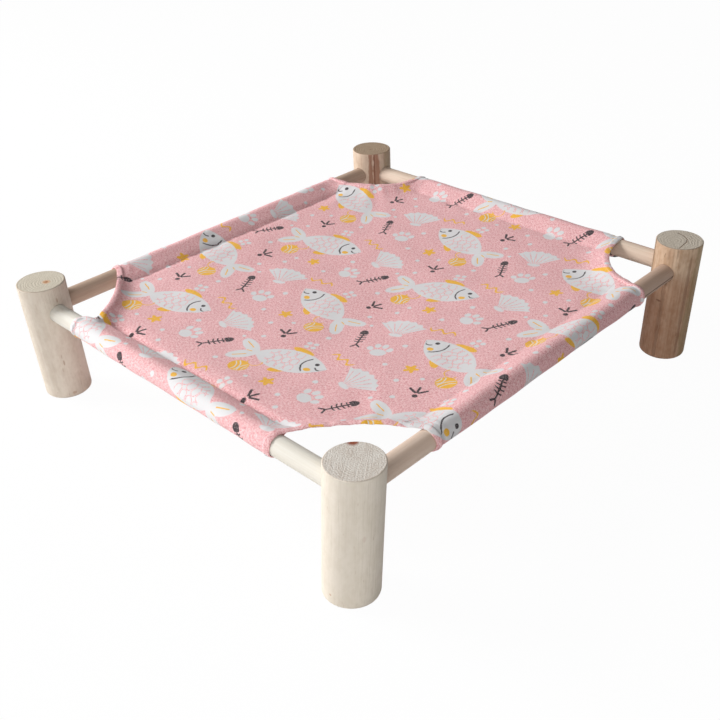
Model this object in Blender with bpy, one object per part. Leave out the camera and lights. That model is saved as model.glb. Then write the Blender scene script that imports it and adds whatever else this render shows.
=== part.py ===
"""Elevated pet bed: a cloth sling held taut by four round rails on four log legs.

Metres, +Z up, feet on Z = 0, the longer side along Y, the front at -Y. Each rail end sits in a
blind bore in a leg. The sling is one sewn cloth, with a sleeve round each rail and a hem that
curves round each leg.
"""

from dataclasses import dataclass
from math import acos, atan2, copysign, cos, exp, hypot, pi, radians, sin

import bmesh
import bpy
from mathutils import Matrix, Vector

# Frame of logs and rails
PITCH_X = 0.460
PITCH_Y = 0.508
LEG_HEIGHT = 0.138
RAIL_BELOW_TOP = 0.031
RAIL_DIAMETER = 0.020
RAIL_CHAMFER = 0.0012
FOOT_ROUND = 0.0025
TOP_CHAMFER = 0.0008

# Seats: the gap left round each rail, and the wood left between a leg's two bores
SEAT_GAP = 0.0003
BORE_WEB = 0.0017

# Logs are a little oval and lumpy, as parts of their radius
LOG_OVAL = 0.012
LOG_LUMP = 0.006
LOG_TWIST = radians(50)

# Sling
CLOTH = 0.001
SEAM_REACH = 0.0128
SEAM_RISE = 0.001
SEAM_LAP = 0.0011
SAG = 0.012
HEM_DIP = 0.0003
HEM_LIFT_WIDTH = 0.018

# How finely the round and curved surfaces are divided
LOG_SIDES = 48
LOG_RINGS = 4
FOOT_STEPS = 3
RAIL_SIDES = 32
SLEEVE_SIDES = 7
SLEEVE_WRAP = (radians(90), radians(300))
HEM_SIDES = 40
HEM_LINES = (0.6, 0.9)
LIFT_LINES = (0.7, 2.1)

# Sizes that follow from those above
HALF_X = PITCH_X / 2
HALF_Y = PITCH_Y / 2
RAIL_HEIGHT = LEG_HEIGHT - RAIL_BELOW_TOP
RAIL_RADIUS = RAIL_DIAMETER / 2
BORE_RADIUS = RAIL_RADIUS + SEAT_GAP
BORE_FLOOR = BORE_RADIUS + BORE_WEB
TUNNEL_RADIUS = RAIL_RADIUS + SEAT_GAP
SLEEVE_RADIUS = TUNNEL_RADIUS + CLOTH
SEAM_INSET = SLEEVE_RADIUS + SEAM_REACH
SEAM_X = HALF_X - SEAM_INSET
SEAM_Y = HALF_Y - SEAM_INSET
HEM_LIFT = SLEEVE_RADIUS - CLOTH / 2 - SEAM_RISE - HEM_DIP


@dataclass(frozen=True)
class Hem:
    """The curve of the sling's edge round a leg: its reach along X and Y, and how full it is.

    A fullness of 2 is an ellipse about the leg, and a lower one is flatter.
    """

    reach_x: float
    reach_y: float
    fullness: float


@dataclass(frozen=True)
class Log:
    """One leg: its corner, its radius, how far its foot stands off plumb, its hem, its colour."""

    name: str
    side_x: int
    side_y: int
    radius: float
    lean_x: float
    lean_y: float
    grain_turn: float
    hem: Hem
    colour: tuple


@dataclass(frozen=True)
class Rail:
    """One rail: the side of the bed that it runs along (0 for X, 1 for Y), and its colour."""

    name: str
    run: int
    side: int
    colour: tuple


LOGS = (
    Log(
        "leg_front_right", 1, -1, 0.0253, -0.006, -0.003, radians(20),
        Hem(0.088, 0.086, 1.45), (0.72, 0.62, 0.48),
    ),
    Log(
        "leg_front_left", -1, -1, 0.02495, -0.003, 0.004, radians(75),
        Hem(0.072, 0.087, 1.6), (0.70, 0.58, 0.45),
    ),
    Log(
        "leg_back_right", 1, 1, 0.0252, -0.001, -0.001, radians(130),
        Hem(0.069, 0.083, 1.9), (0.55, 0.37, 0.22),
    ),
    Log(
        "leg_back_left", -1, 1, 0.02545, 0.0025, -0.0025, radians(200),
        Hem(0.084, 0.072, 1.95), (0.50, 0.38, 0.28),
    ),
)

RAILS = (
    Rail("rail_front", 0, -1, (0.75, 0.64, 0.48)),
    Rail("rail_back", 0, 1, (0.72, 0.60, 0.42)),
    Rail("rail_left", 1, -1, (0.60, 0.50, 0.38)),
    Rail("rail_right", 1, 1, (0.62, 0.46, 0.35)),
)

SLING_COLOUR = (0.75, 0.40, 0.40)


def material(name, colour, roughness):
    """A plain dielectric finish."""
    finish = bpy.data.materials.new(name)
    finish.use_nodes = True
    shader = finish.node_tree.nodes["Principled BSDF"]
    shader.inputs["Base Color"].default_value = (*colour, 1.0)
    shader.inputs["Roughness"].default_value = roughness
    shader.inputs["Metallic"].default_value = 0.0
    finish.diffuse_color = (*colour, 1.0)
    return finish


def add_object(name, bm, parent, location=(0.0, 0.0, 0.0)):
    """Turn a bmesh into an object under the bed's origin."""
    mesh = bpy.data.meshes.new(name)
    bmesh.ops.recalc_face_normals(bm, faces=bm.faces)
    bm.to_mesh(mesh)
    bm.free()
    mesh.shade_smooth()
    mesh.set_sharp_from_angle(angle=radians(35))
    item = bpy.data.objects.new(name, mesh)
    bpy.context.scene.collection.objects.link(item)
    item.parent = parent
    item.location = location
    return item


def add_cutter(name, bm, parent, location=(0.0, 0.0, 0.0)):
    """An object that is only there to be cut out of another."""
    cutter = add_object(name, bm, parent, location)
    cutter.hide_render = True
    cutter.display_type = "WIRE"
    return cutter


def cut(item, cutter):
    """Take the cutter's shape out of the item."""
    boolean = item.modifiers.new(cutter.name, "BOOLEAN")
    boolean.operation = "DIFFERENCE"
    boolean.solver = "EXACT"
    boolean.object = cutter


def skin_rings(bm, rings, closed):
    """Join rings of vertices with quads, right round each ring or from its first to its last."""
    for near, far in zip(rings, rings[1:]):
        count = len(near) if closed else len(near) - 1
        for k in range(count):
            after = (k + 1) % len(near)
            bm.faces.new((near[k], near[after], far[after], far[k]))
    bm.faces.new(rings[0])
    bm.faces.new(rings[-1])


def split_seam_sides(bm, seam_points, middle):
    """Split the bent quads that rise to a seam the same way, inside and outside the cloth.

    The new edge leaves the seam at the quad's end that is nearer to a hem. seam_points are the
    seam's vertices in order, and middle is where the first hem's half ends.
    """
    for count, (point, after) in enumerate(zip(seam_points, seam_points[1:])):
        near, far = (point, after) if count < middle else (after, point)
        for face in [face for face in near.link_faces if far in face.verts and len(face.verts) == 4]:
            corner = next(v for v in face.verts if v is not near and not bm.edges.get((v, near)))
            bmesh.utils.face_split(face, near, corner)


def turned(bm, profile, matrix):
    """Add a round solid: the profile holds (place along its axis, radius), the axis is local Z."""
    rings = []
    for along, radius in profile:
        ring = []
        for k in range(RAIL_SIDES):
            angle = 2 * pi * k / RAIL_SIDES
            ring.append(bm.verts.new(matrix @ Vector((radius * cos(angle), radius * sin(angle), along))))
        rings.append(ring)
    skin_rings(bm, rings, closed=True)


def along_run(run):
    """The turn that lays a local Z axis along X (run 0) or along Y (run 1)."""
    return Matrix.Rotation(pi / 2, 4, "Y") if run == 0 else Matrix.Rotation(-pi / 2, 4, "X")


def log_point(log, angle, height, inset):
    """A point of a log's skin, from the leg's centre under its bores."""
    lump = LOG_LUMP * cos(3 * angle + LOG_TWIST * height / LEG_HEIGHT + log.grain_turn)
    radius = log.radius * (1 + LOG_OVAL * cos(2 * (angle - log.grain_turn)) + lump) - inset
    plumb = (RAIL_HEIGHT - height) / RAIL_HEIGHT
    x = radius * cos(angle) + log.lean_x * plumb
    y = radius * sin(angle) + log.lean_y * plumb
    return Vector((x, y, height))


def log_levels():
    """Heights up a log, each with how far the skin is drawn in there."""
    levels = []
    for k in range(FOOT_STEPS + 1):
        angle = pi / 2 * k / FOOT_STEPS
        levels.append((FOOT_ROUND * (1 - cos(angle)), FOOT_ROUND * (1 - sin(angle))))
    shaft = LEG_HEIGHT - TOP_CHAMFER - FOOT_ROUND
    for k in range(1, LOG_RINGS + 1):
        levels.append((FOOT_ROUND + shaft * k / LOG_RINGS, 0.0))
    levels.append((LEG_HEIGHT, TOP_CHAMFER))
    return levels


def make_leg(log, origin):
    """A log leg with a blind bore towards each of its two neighbours."""
    bm = bmesh.new()
    rings = []
    for height, inset in log_levels():
        angles = (2 * pi * k / LOG_SIDES for k in range(LOG_SIDES))
        rings.append([bm.verts.new(log_point(log, angle, height, inset)) for angle in angles])
    skin_rings(bm, rings, closed=True)
    place = (log.side_x * HALF_X, log.side_y * HALF_Y, 0.0)
    leg = add_object(log.name, bm, origin, place)
    leg.data.materials.append(material(log.name + "_wood", log.colour, 0.75))
    for run, side in ((0, -log.side_x), (1, -log.side_y)):
        bore = bmesh.new()
        mouth = 2 * log.radius
        ends = sorted((side * BORE_FLOOR, side * mouth))
        turned(bore, [(end, BORE_RADIUS) for end in ends], along_run(run))
        place_bore = (place[0], place[1], RAIL_HEIGHT)
        cut(leg, add_cutter(f"{log.name}_bore_{'xy'[run]}", bore, origin, place_bore))
    return leg


def make_rail(rail, origin):
    """A round rail with chamfered ends, as long as the way from bore floor to bore floor."""
    reach = (HALF_X, HALF_Y)[rail.run] - BORE_FLOOR - SEAT_GAP
    profile = [
        (-reach, RAIL_RADIUS - RAIL_CHAMFER),
        (-reach + RAIL_CHAMFER, RAIL_RADIUS),
        (reach - RAIL_CHAMFER, RAIL_RADIUS),
        (reach, RAIL_RADIUS - RAIL_CHAMFER),
    ]
    bm = bmesh.new()
    turned(bm, profile, along_run(rail.run))
    place = [0.0, 0.0, RAIL_HEIGHT]
    place[1 - rail.run] = rail.side * (HALF_Y, HALF_X)[rail.run]
    item = add_object(rail.name, bm, origin, place)
    item.data.materials.append(material(rail.name + "_wood", rail.colour, 0.7))
    return item


def from_hem(x, y):
    """How far a point of the cloth lies inboard of the hem round the nearest leg."""
    log = next(log for log in LOGS if x * log.side_x >= 0 and y * log.side_y >= 0)
    along, across = x - log.side_x * HALF_X, y - log.side_y * HALF_Y
    power = log.hem.fullness
    shares = abs(along / log.hem.reach_x) ** power + abs(across / log.hem.reach_y) ** power
    return hypot(along, across) * (1 - min(shares ** (-1 / power), 1.0))


def panel_rise(x, y):
    """Height of the cloth's middle over the rails' axes: a shallow dip, lifted at the four hems."""
    dip = SAG * (1 - (x / SEAM_X) ** 2) * (1 - (y / SEAM_Y) ** 2)
    return SEAM_RISE - dip + HEM_LIFT * exp(-((from_hem(x, y) / HEM_LIFT_WIDTH) ** 2))


def facing_angles():
    """Directions that a sleeve's flat sides face, seen along the rail.

    The first side just clears the rail where the seam is lowest, and the last one where it is
    highest, so the sleeve's round stays the same along the whole rail.
    """
    over, under = SEAM_RISE + CLOTH / 2, SEAM_RISE + HEM_LIFT - CLOTH / 2
    first = atan2(over, SEAM_INSET) + acos(SLEEVE_RADIUS / hypot(SEAM_INSET, over))
    last = 2 * pi + atan2(under, SEAM_INSET) - acos(SLEEVE_RADIUS / hypot(SEAM_INSET, under))
    start, end = SLEEVE_WRAP
    wrap = [start + (end - start) * k / SLEEVE_SIDES for k in range(SLEEVE_SIDES + 1)]
    return [first, *wrap, last]


def sleeve_corners(radius):
    """Corners between a sleeve's flat sides, as (inboard, up) from the rail's axis."""
    corners = []
    angles = facing_angles()
    for facing, after in zip(angles, angles[1:]):
        reach = radius / cos((after - facing) / 2)
        middle = (facing + after) / 2
        corners.append((reach * cos(middle), reach * sin(middle)))
    return corners


def beside_rail(run, side, along, inboard, up):
    """A point given by its place along a rail, its way inboard from the axis, and its rise."""
    across = side * ((HALF_Y, HALF_X)[run] - inboard)
    return (along, across, up) if run == 0 else (across, along, up)


def lines_from_end(run, side):
    """Distances of the cloth's lines from the legs at one end of a run, close near the hems."""
    logs = [log for log in LOGS if (log.side_x, log.side_y)[run] == side]
    short, long = sorted((log.hem.reach_x, log.hem.reach_y)[run] for log in logs)
    distances = [SEAM_INSET]
    distances += [short * share for share in HEM_LINES]
    distances += [long + HEM_LIFT_WIDTH * share for share in LIFT_LINES]
    return [*distances, (distances[-1] + (HALF_X, HALF_Y)[run]) / 2]


def grid_lines(run):
    """Places of the cloth's lines along X (run 0) or Y (run 1), from seam to seam."""
    half = (HALF_X, HALF_Y)[run]
    low = [distance - half for distance in lines_from_end(run, -1)]
    high = [half - distance for distance in lines_from_end(run, 1)]
    return [*low, 0.0, *high[::-1]]


def sling_blank():
    """The sling before it is cut: a thin panel with a closed roll along each side."""
    bm = bmesh.new()
    lines = (grid_lines(0), grid_lines(1))
    corners = sleeve_corners(SLEEVE_RADIUS)
    skins = []
    for offset in (CLOTH / 2, -CLOTH / 2):
        skin = [[bm.verts.new((x, y, panel_rise(x, y) + offset)) for y in lines[1]] for x in lines[0]]
        for row, after in zip(skin, skin[1:]):
            for j in range(len(row) - 1):
                bm.faces.new((row[j], after[j], after[j + 1], row[j + 1]))
        skins.append(skin)
    for run in (0, 1):
        for side in (-1, 1):
            edge = -1 if side > 0 else 0
            over, under = ([row[edge] for row in skin] if run == 0 else skin[edge] for skin in skins)
            rings = []
            for along, top, base in zip(lines[run], over, under):
                round_rail = [bm.verts.new(beside_rail(run, side, along, *place)) for place in corners]
                rings.append([top, *round_rail, base])
            skin_rings(bm, rings, closed=False)
            for seam in (over, under):
                split_seam_sides(bm, seam, len(seam) // 2)
    return bm


def tunnels():
    """The holes that the rails run through: round the rail, and drawn to a point at the seam."""
    bm = bmesh.new()
    corners = sleeve_corners(TUNNEL_RADIUS)
    for run in (0, 1):
        lines = grid_lines(run)
        near_hem = slice(len(HEM_LINES), len(HEM_LINES) + len(LIFT_LINES) + 1)
        stations = lines[near_hem] + lines[::-1][near_hem][::-1]
        for side in (-1, 1):
            seam = side * (SEAM_Y, SEAM_X)[run]
            rings = []
            for along in stations:
                rise = panel_rise(along, seam) if run == 0 else panel_rise(seam, along)
                section = [(SEAM_INSET - SEAM_LAP, rise), *corners]
                rings.append([bm.verts.new(beside_rail(run, side, along, *place)) for place in section])
            skin_rings(bm, rings, closed=True)
            split_seam_sides(bm, [ring[0] for ring in rings], len(rings) // 2)
    return bm


def hem_point(log, angle, height):
    """A point of the upright round that leaves a leg's hem, from the bed's middle."""
    power = 2 / log.hem.fullness
    along = copysign(abs(cos(angle)) ** power, cos(angle)) * log.hem.reach_x
    across = copysign(abs(sin(angle)) ** power, sin(angle)) * log.hem.reach_y
    return Vector((log.side_x * HALF_X + along, log.side_y * HALF_Y + across, height))


def corner_rounds():
    """Upright rounds about the four legs, which leave the sling its concave hems."""
    bm = bmesh.new()
    reach = 2 * (SLEEVE_RADIUS + SAG)
    for log in LOGS:
        rings = []
        for height in (-reach, reach):
            angles = (2 * pi * k / HEM_SIDES for k in range(HEM_SIDES))
            rings.append([bm.verts.new(hem_point(log, angle, height)) for angle in angles])
        skin_rings(bm, rings, closed=True)
    return bm


def make_sling(origin):
    """The sewn cloth, with its sleeves opened and its corners cut."""
    place = (0.0, 0.0, RAIL_HEIGHT)
    sling = add_object("sling", sling_blank(), origin, place)
    sling.data.materials.append(material("sling_cloth", SLING_COLOUR, 0.9))
    cut(sling, add_cutter("sling_corners", corner_rounds(), origin, place))
    cut(sling, add_cutter("sling_tunnels", tunnels(), origin, place))
    return sling


def centre_footprint(origin, legs):
    """Move the bed so that the middle of its footprint stands over the world's origin."""
    for axis in (0, 1):
        places = [leg.location[axis] + vertex.co[axis] for leg in legs for vertex in leg.data.vertices]
        origin.location[axis] = -(min(places) + max(places)) / 2


def main():
    """Build the whole bed."""
    for item in list(bpy.data.objects):
        bpy.data.objects.remove(item)
    origin = bpy.data.objects.new("bed_origin", None)
    bpy.context.scene.collection.objects.link(origin)
    legs = [make_leg(log, origin) for log in LOGS]
    for rail in RAILS:
        make_rail(rail, origin)
    make_sling(origin)
    centre_footprint(origin, legs)


main()
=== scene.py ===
"""Elevated pet bed, dressed for rendering: four log legs, four round rails and a printed sling."""

import logging
import math
from dataclasses import dataclass
from enum import Enum
from functools import partial, reduce
from typing import Iterable, Sequence

import bpy
import numpy as np
from mathutils import Matrix, Vector, noise

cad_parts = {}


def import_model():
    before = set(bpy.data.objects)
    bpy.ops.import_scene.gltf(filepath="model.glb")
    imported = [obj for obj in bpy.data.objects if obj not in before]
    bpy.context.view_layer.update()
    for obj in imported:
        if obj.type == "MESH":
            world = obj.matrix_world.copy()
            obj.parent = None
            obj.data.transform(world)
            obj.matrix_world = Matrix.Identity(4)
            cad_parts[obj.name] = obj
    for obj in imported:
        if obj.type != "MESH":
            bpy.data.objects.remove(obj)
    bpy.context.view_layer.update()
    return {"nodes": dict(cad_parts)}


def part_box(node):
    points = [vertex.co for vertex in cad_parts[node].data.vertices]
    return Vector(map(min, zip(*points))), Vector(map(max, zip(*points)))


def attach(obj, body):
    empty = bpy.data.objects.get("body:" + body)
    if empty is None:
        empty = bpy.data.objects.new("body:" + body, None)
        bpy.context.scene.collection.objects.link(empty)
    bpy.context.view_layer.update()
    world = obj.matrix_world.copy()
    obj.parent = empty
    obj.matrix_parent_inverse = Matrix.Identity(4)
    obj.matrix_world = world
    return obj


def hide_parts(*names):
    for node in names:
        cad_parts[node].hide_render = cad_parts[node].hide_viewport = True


LOG = logging.getLogger("pet_bed")

Colour = tuple[float, float, float, float]
Pair = tuple[float, float]
Place = tuple[float, float, float]

MM = 0.001


def paint(red: float, green: float, blue: float) -> Colour:
    """A colour from screen values of 0 to 255.

    Args:
        red: The screen's red.
        green: The screen's green.
        blue: The screen's blue.

    Returns:
        The same colour in linear light, opaque.
    """
    shares = (value / 255 for value in (red, green, blue))
    linear = [share / 12.92 if share <= 0.04045 else ((share + 0.055) / 1.055) ** 2.4 for share in shares]
    return (*linear, 1.0)


# Node trees


@dataclass(frozen=True)
class Field:
    """A number that varies over a surface, as the output of a node."""

    graph: "Graph"
    socket: bpy.types.NodeSocket

    def __add__(self, other: "Number") -> "Field":
        """The sum of the two."""
        return self.graph.math("ADD", self, other)

    def __sub__(self, other: "Number") -> "Field":
        """This less the other."""
        return self.graph.math("SUBTRACT", self, other)

    def __rsub__(self, other: "Number") -> "Field":
        """The other less this."""
        return self.graph.math("SUBTRACT", other, self)

    def __mul__(self, other: "Number") -> "Field":
        """The product of the two."""
        return self.graph.math("MULTIPLY", self, other)

    def __truediv__(self, other: "Number") -> "Field":
        """This divided by the other."""
        return self.graph.math("DIVIDE", self, other)

    def __abs__(self) -> "Field":
        """Its size, without its sign."""
        return self.graph.math("ABSOLUTE", self)


Number = Field | float
Point = tuple[Number, Number]


@dataclass(frozen=True)
class Grain:
    """A layer of cloudy noise: how large its blobs are along each axis, its finer layers, its seed."""

    sizes: tuple[float, ...]
    detail: float = 2.0
    seed: float = 0.0


class Graph:
    """A material's node tree while it is being written."""

    # Which sockets of a Mix node are its two colours and its mixed colour
    MIX_COLOURS = (6, 7)
    MIX_RESULT = 2

    def __init__(self, tree: bpy.types.NodeTree) -> None:
        """Keep the tree that the nodes go into."""
        self.tree = tree

    def add(self, kind: str, **settings: object) -> bpy.types.Node:
        """Add a node.

        Args:
            kind: The node's type.
            settings: Values for the node's own properties.

        Returns:
            The new node.
        """
        node = self.tree.nodes.new(kind)
        for name, value in settings.items():
            setattr(node, name, value)
        return node

    def feed(self, socket: bpy.types.NodeSocket, value: object) -> None:
        """Give an input its value.

        Args:
            socket: The input.
            value: A field or an output, which is linked to it, or a constant, which is set.
        """
        if isinstance(value, Field):
            value = value.socket
        if isinstance(value, bpy.types.NodeSocket):
            self.tree.links.new(value, socket)
        else:
            socket.default_value = value

    def fill(self, node: bpy.types.Node, values: dict[str, object]) -> None:
        """Give some of a node's inputs their values, by name."""
        for name, value in values.items():
            self.feed(node.inputs[name], value)

    def math(self, operation: str, *values: Number) -> Field:
        """Work something out with one Math node.

        Args:
            operation: The node's operation.
            values: What goes into it, in order.

        Returns:
            The result.
        """
        node = self.add("ShaderNodeMath", operation=operation)
        for socket, value in zip(node.inputs, values):
            self.feed(socket, value)
        return Field(self, node.outputs[0])

    def least(self, *values: Number) -> Number:
        """The lowest of some numbers."""
        return reduce(partial(self.math, "MINIMUM"), values)

    def most(self, *values: Number) -> Number:
        """The highest of some numbers."""
        return reduce(partial(self.math, "MAXIMUM"), values)

    def length(self, across: Number, along: Number) -> Field:
        """How long the way (across, along) is."""
        square = self.math("MULTIPLY_ADD", across, across, self.math("MULTIPLY", along, along))
        return self.math("SQRT", square)

    def step(self, value: Number, start: float, end: float) -> Field:
        """Rise smoothly from 0 at start to 1 at end, or fall from 1 to 0 where start is the higher.

        Args:
            value: What is read.
            start: Where the result is 0.
            end: Where the result is 1.

        Returns:
            The smooth step.
        """
        node = self.add("ShaderNodeMapRange", interpolation_type="SMOOTHSTEP")
        for socket, number in zip(node.inputs, (value, start, end, 0.0, 1.0)):
            self.feed(socket, number)
        return Field(self, node.outputs[0])

    def vector(self, *parts: Number) -> bpy.types.NodeSocket:
        """Join numbers into a vector.

        Args:
            parts: Up to three numbers, along X, Y and Z.

        Returns:
            The vector.
        """
        node = self.add("ShaderNodeCombineXYZ")
        for socket, part in zip(node.inputs, parts):
            self.feed(socket, part)
        return node.outputs[0]

    def split(self, vector: bpy.types.NodeSocket) -> tuple[Field, Field, Field]:
        """Take a vector apart.

        Args:
            vector: The vector.

        Returns:
            Its parts along X, Y and Z.
        """
        node = self.add("ShaderNodeSeparateXYZ")
        self.feed(node.inputs[0], vector)
        return tuple(Field(self, output) for output in node.outputs)

    def object_place(self) -> tuple[Field, Field, Field]:
        """Where the shaded point is, along X, Y and Z."""
        return self.split(self.add("ShaderNodeTexCoord").outputs["Object"])

    def noise(self, place: Sequence[Number], grain: Grain, seed: float = 0.0) -> Field:
        """Cloudy noise about 0, from -1 to 1.

        Args:
            place: Where it is read, along two or three axes.
            grain: The layer of noise, with its sizes along the same axes and in the same unit.
            seed: What the layer's own seed is raised by.

        Returns:
            The noise.
        """
        pairs = list(zip((*place, 0.0), (*grain.sizes, 1.0)))[:3]
        scaled = [self.math("MULTIPLY_ADD", part, 1 / size, grain.seed + seed) for part, size in pairs]
        node = self.add("ShaderNodeTexNoise")
        self.fill(node, {"Vector": self.vector(*scaled), "Scale": 1.0, "Detail": grain.detail})
        return self.math("MULTIPLY_ADD", Field(self, node.outputs["Fac"]), 2.0, -1.0)

    def blend(self, amount: Number, under: object, over: object) -> bpy.types.NodeSocket:
        """Lay one colour over another.

        Args:
            amount: How much of the upper colour shows, from 0 to 1.
            under: The lower colour.
            over: The upper colour.

        Returns:
            The mixed colour.
        """
        node = self.add("ShaderNodeMix", data_type="RGBA")
        for number, value in zip((0, *self.MIX_COLOURS), (amount, under, over)):
            self.feed(node.inputs[number], value)
        return node.outputs[self.MIX_RESULT]

    def bump(
        self, height: Number, depth: float, under: bpy.types.NodeSocket | None = None
    ) -> bpy.types.NodeSocket:
        """Turn a height into a bumpy surface.

        Args:
            height: The height, where 1 is a full depth.
            depth: What a height of 1 is, in metres.
            under: A bump that this one adds to.

        Returns:
            The bumped normal.
        """
        node = self.add("ShaderNodeBump")
        self.fill(node, {"Strength": 1.0, "Distance": depth, "Height": height})
        if under is not None:
            self.feed(node.inputs["Normal"], under)
        return node.outputs[0]


def new_finish(name: str) -> tuple[bpy.types.Material, Graph, bpy.types.Node]:
    """Start a finish.

    Args:
        name: The material's name.

    Returns:
        The material, its graph and its shader.
    """
    finish = bpy.data.materials.new(name)
    finish.use_nodes = True
    shader = finish.node_tree.nodes["Principled BSDF"]
    return finish, Graph(finish.node_tree), shader


def put_on(item: bpy.types.Object, finish: bpy.types.Material) -> None:
    """Make a finish an object's only one."""
    item.data.materials.clear()
    item.data.materials.append(finish)


def turned(across: Number, along: Number, degrees: float) -> Point:
    """See a place along axes that are turned.

    Args:
        across: The place's first number.
        along: Its second number.
        degrees: How far the axes are turned.

    Returns:
        The same place along the turned axes.
    """
    cosine, sine = math.cos(math.radians(degrees)), math.sin(math.radians(degrees))
    return across * cosine + along * sine, along * cosine - across * sine


def line_distance(graph: Graph, place: Point, start: Pair, end: Pair) -> Field:
    """How far a point lies from a straight line between two places.

    Args:
        graph: The node tree.
        place: The point.
        start: Where the line starts.
        end: Where it ends.

    Returns:
        The distance.
    """
    run, rise = end[0] - start[0], end[1] - start[1]
    across, along = place[0] - start[0], place[1] - start[1]
    share = (across * run + along * rise) / (run * run + rise * rise)
    share = graph.least(graph.most(share, 0.0), 1.0)
    return graph.length(across - share * run, along - share * rise)


# Wood

WOOD_SHINE = 0.35


class Run(Enum):
    """The way that a rail runs."""

    ALONG_X = 0
    ALONG_Y = 1


@dataclass(frozen=True)
class Mark:
    """A knot, stain, strip of bark or patch of painted shade on a log's side.

    Its turn round the log is in degrees from X, and its other measures are in metres.
    """

    turn: float
    height: float
    half_width: float
    half_height: float
    colour: Colour
    strength: float = 1.0
    ragged: float = 0.25


@dataclass(frozen=True)
class Spot:
    """A knot or the pith on a log's sawn top, from the log's middle."""

    across: float
    along: float
    radius: float
    colour: Colour
    strength: float = 1.0


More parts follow.
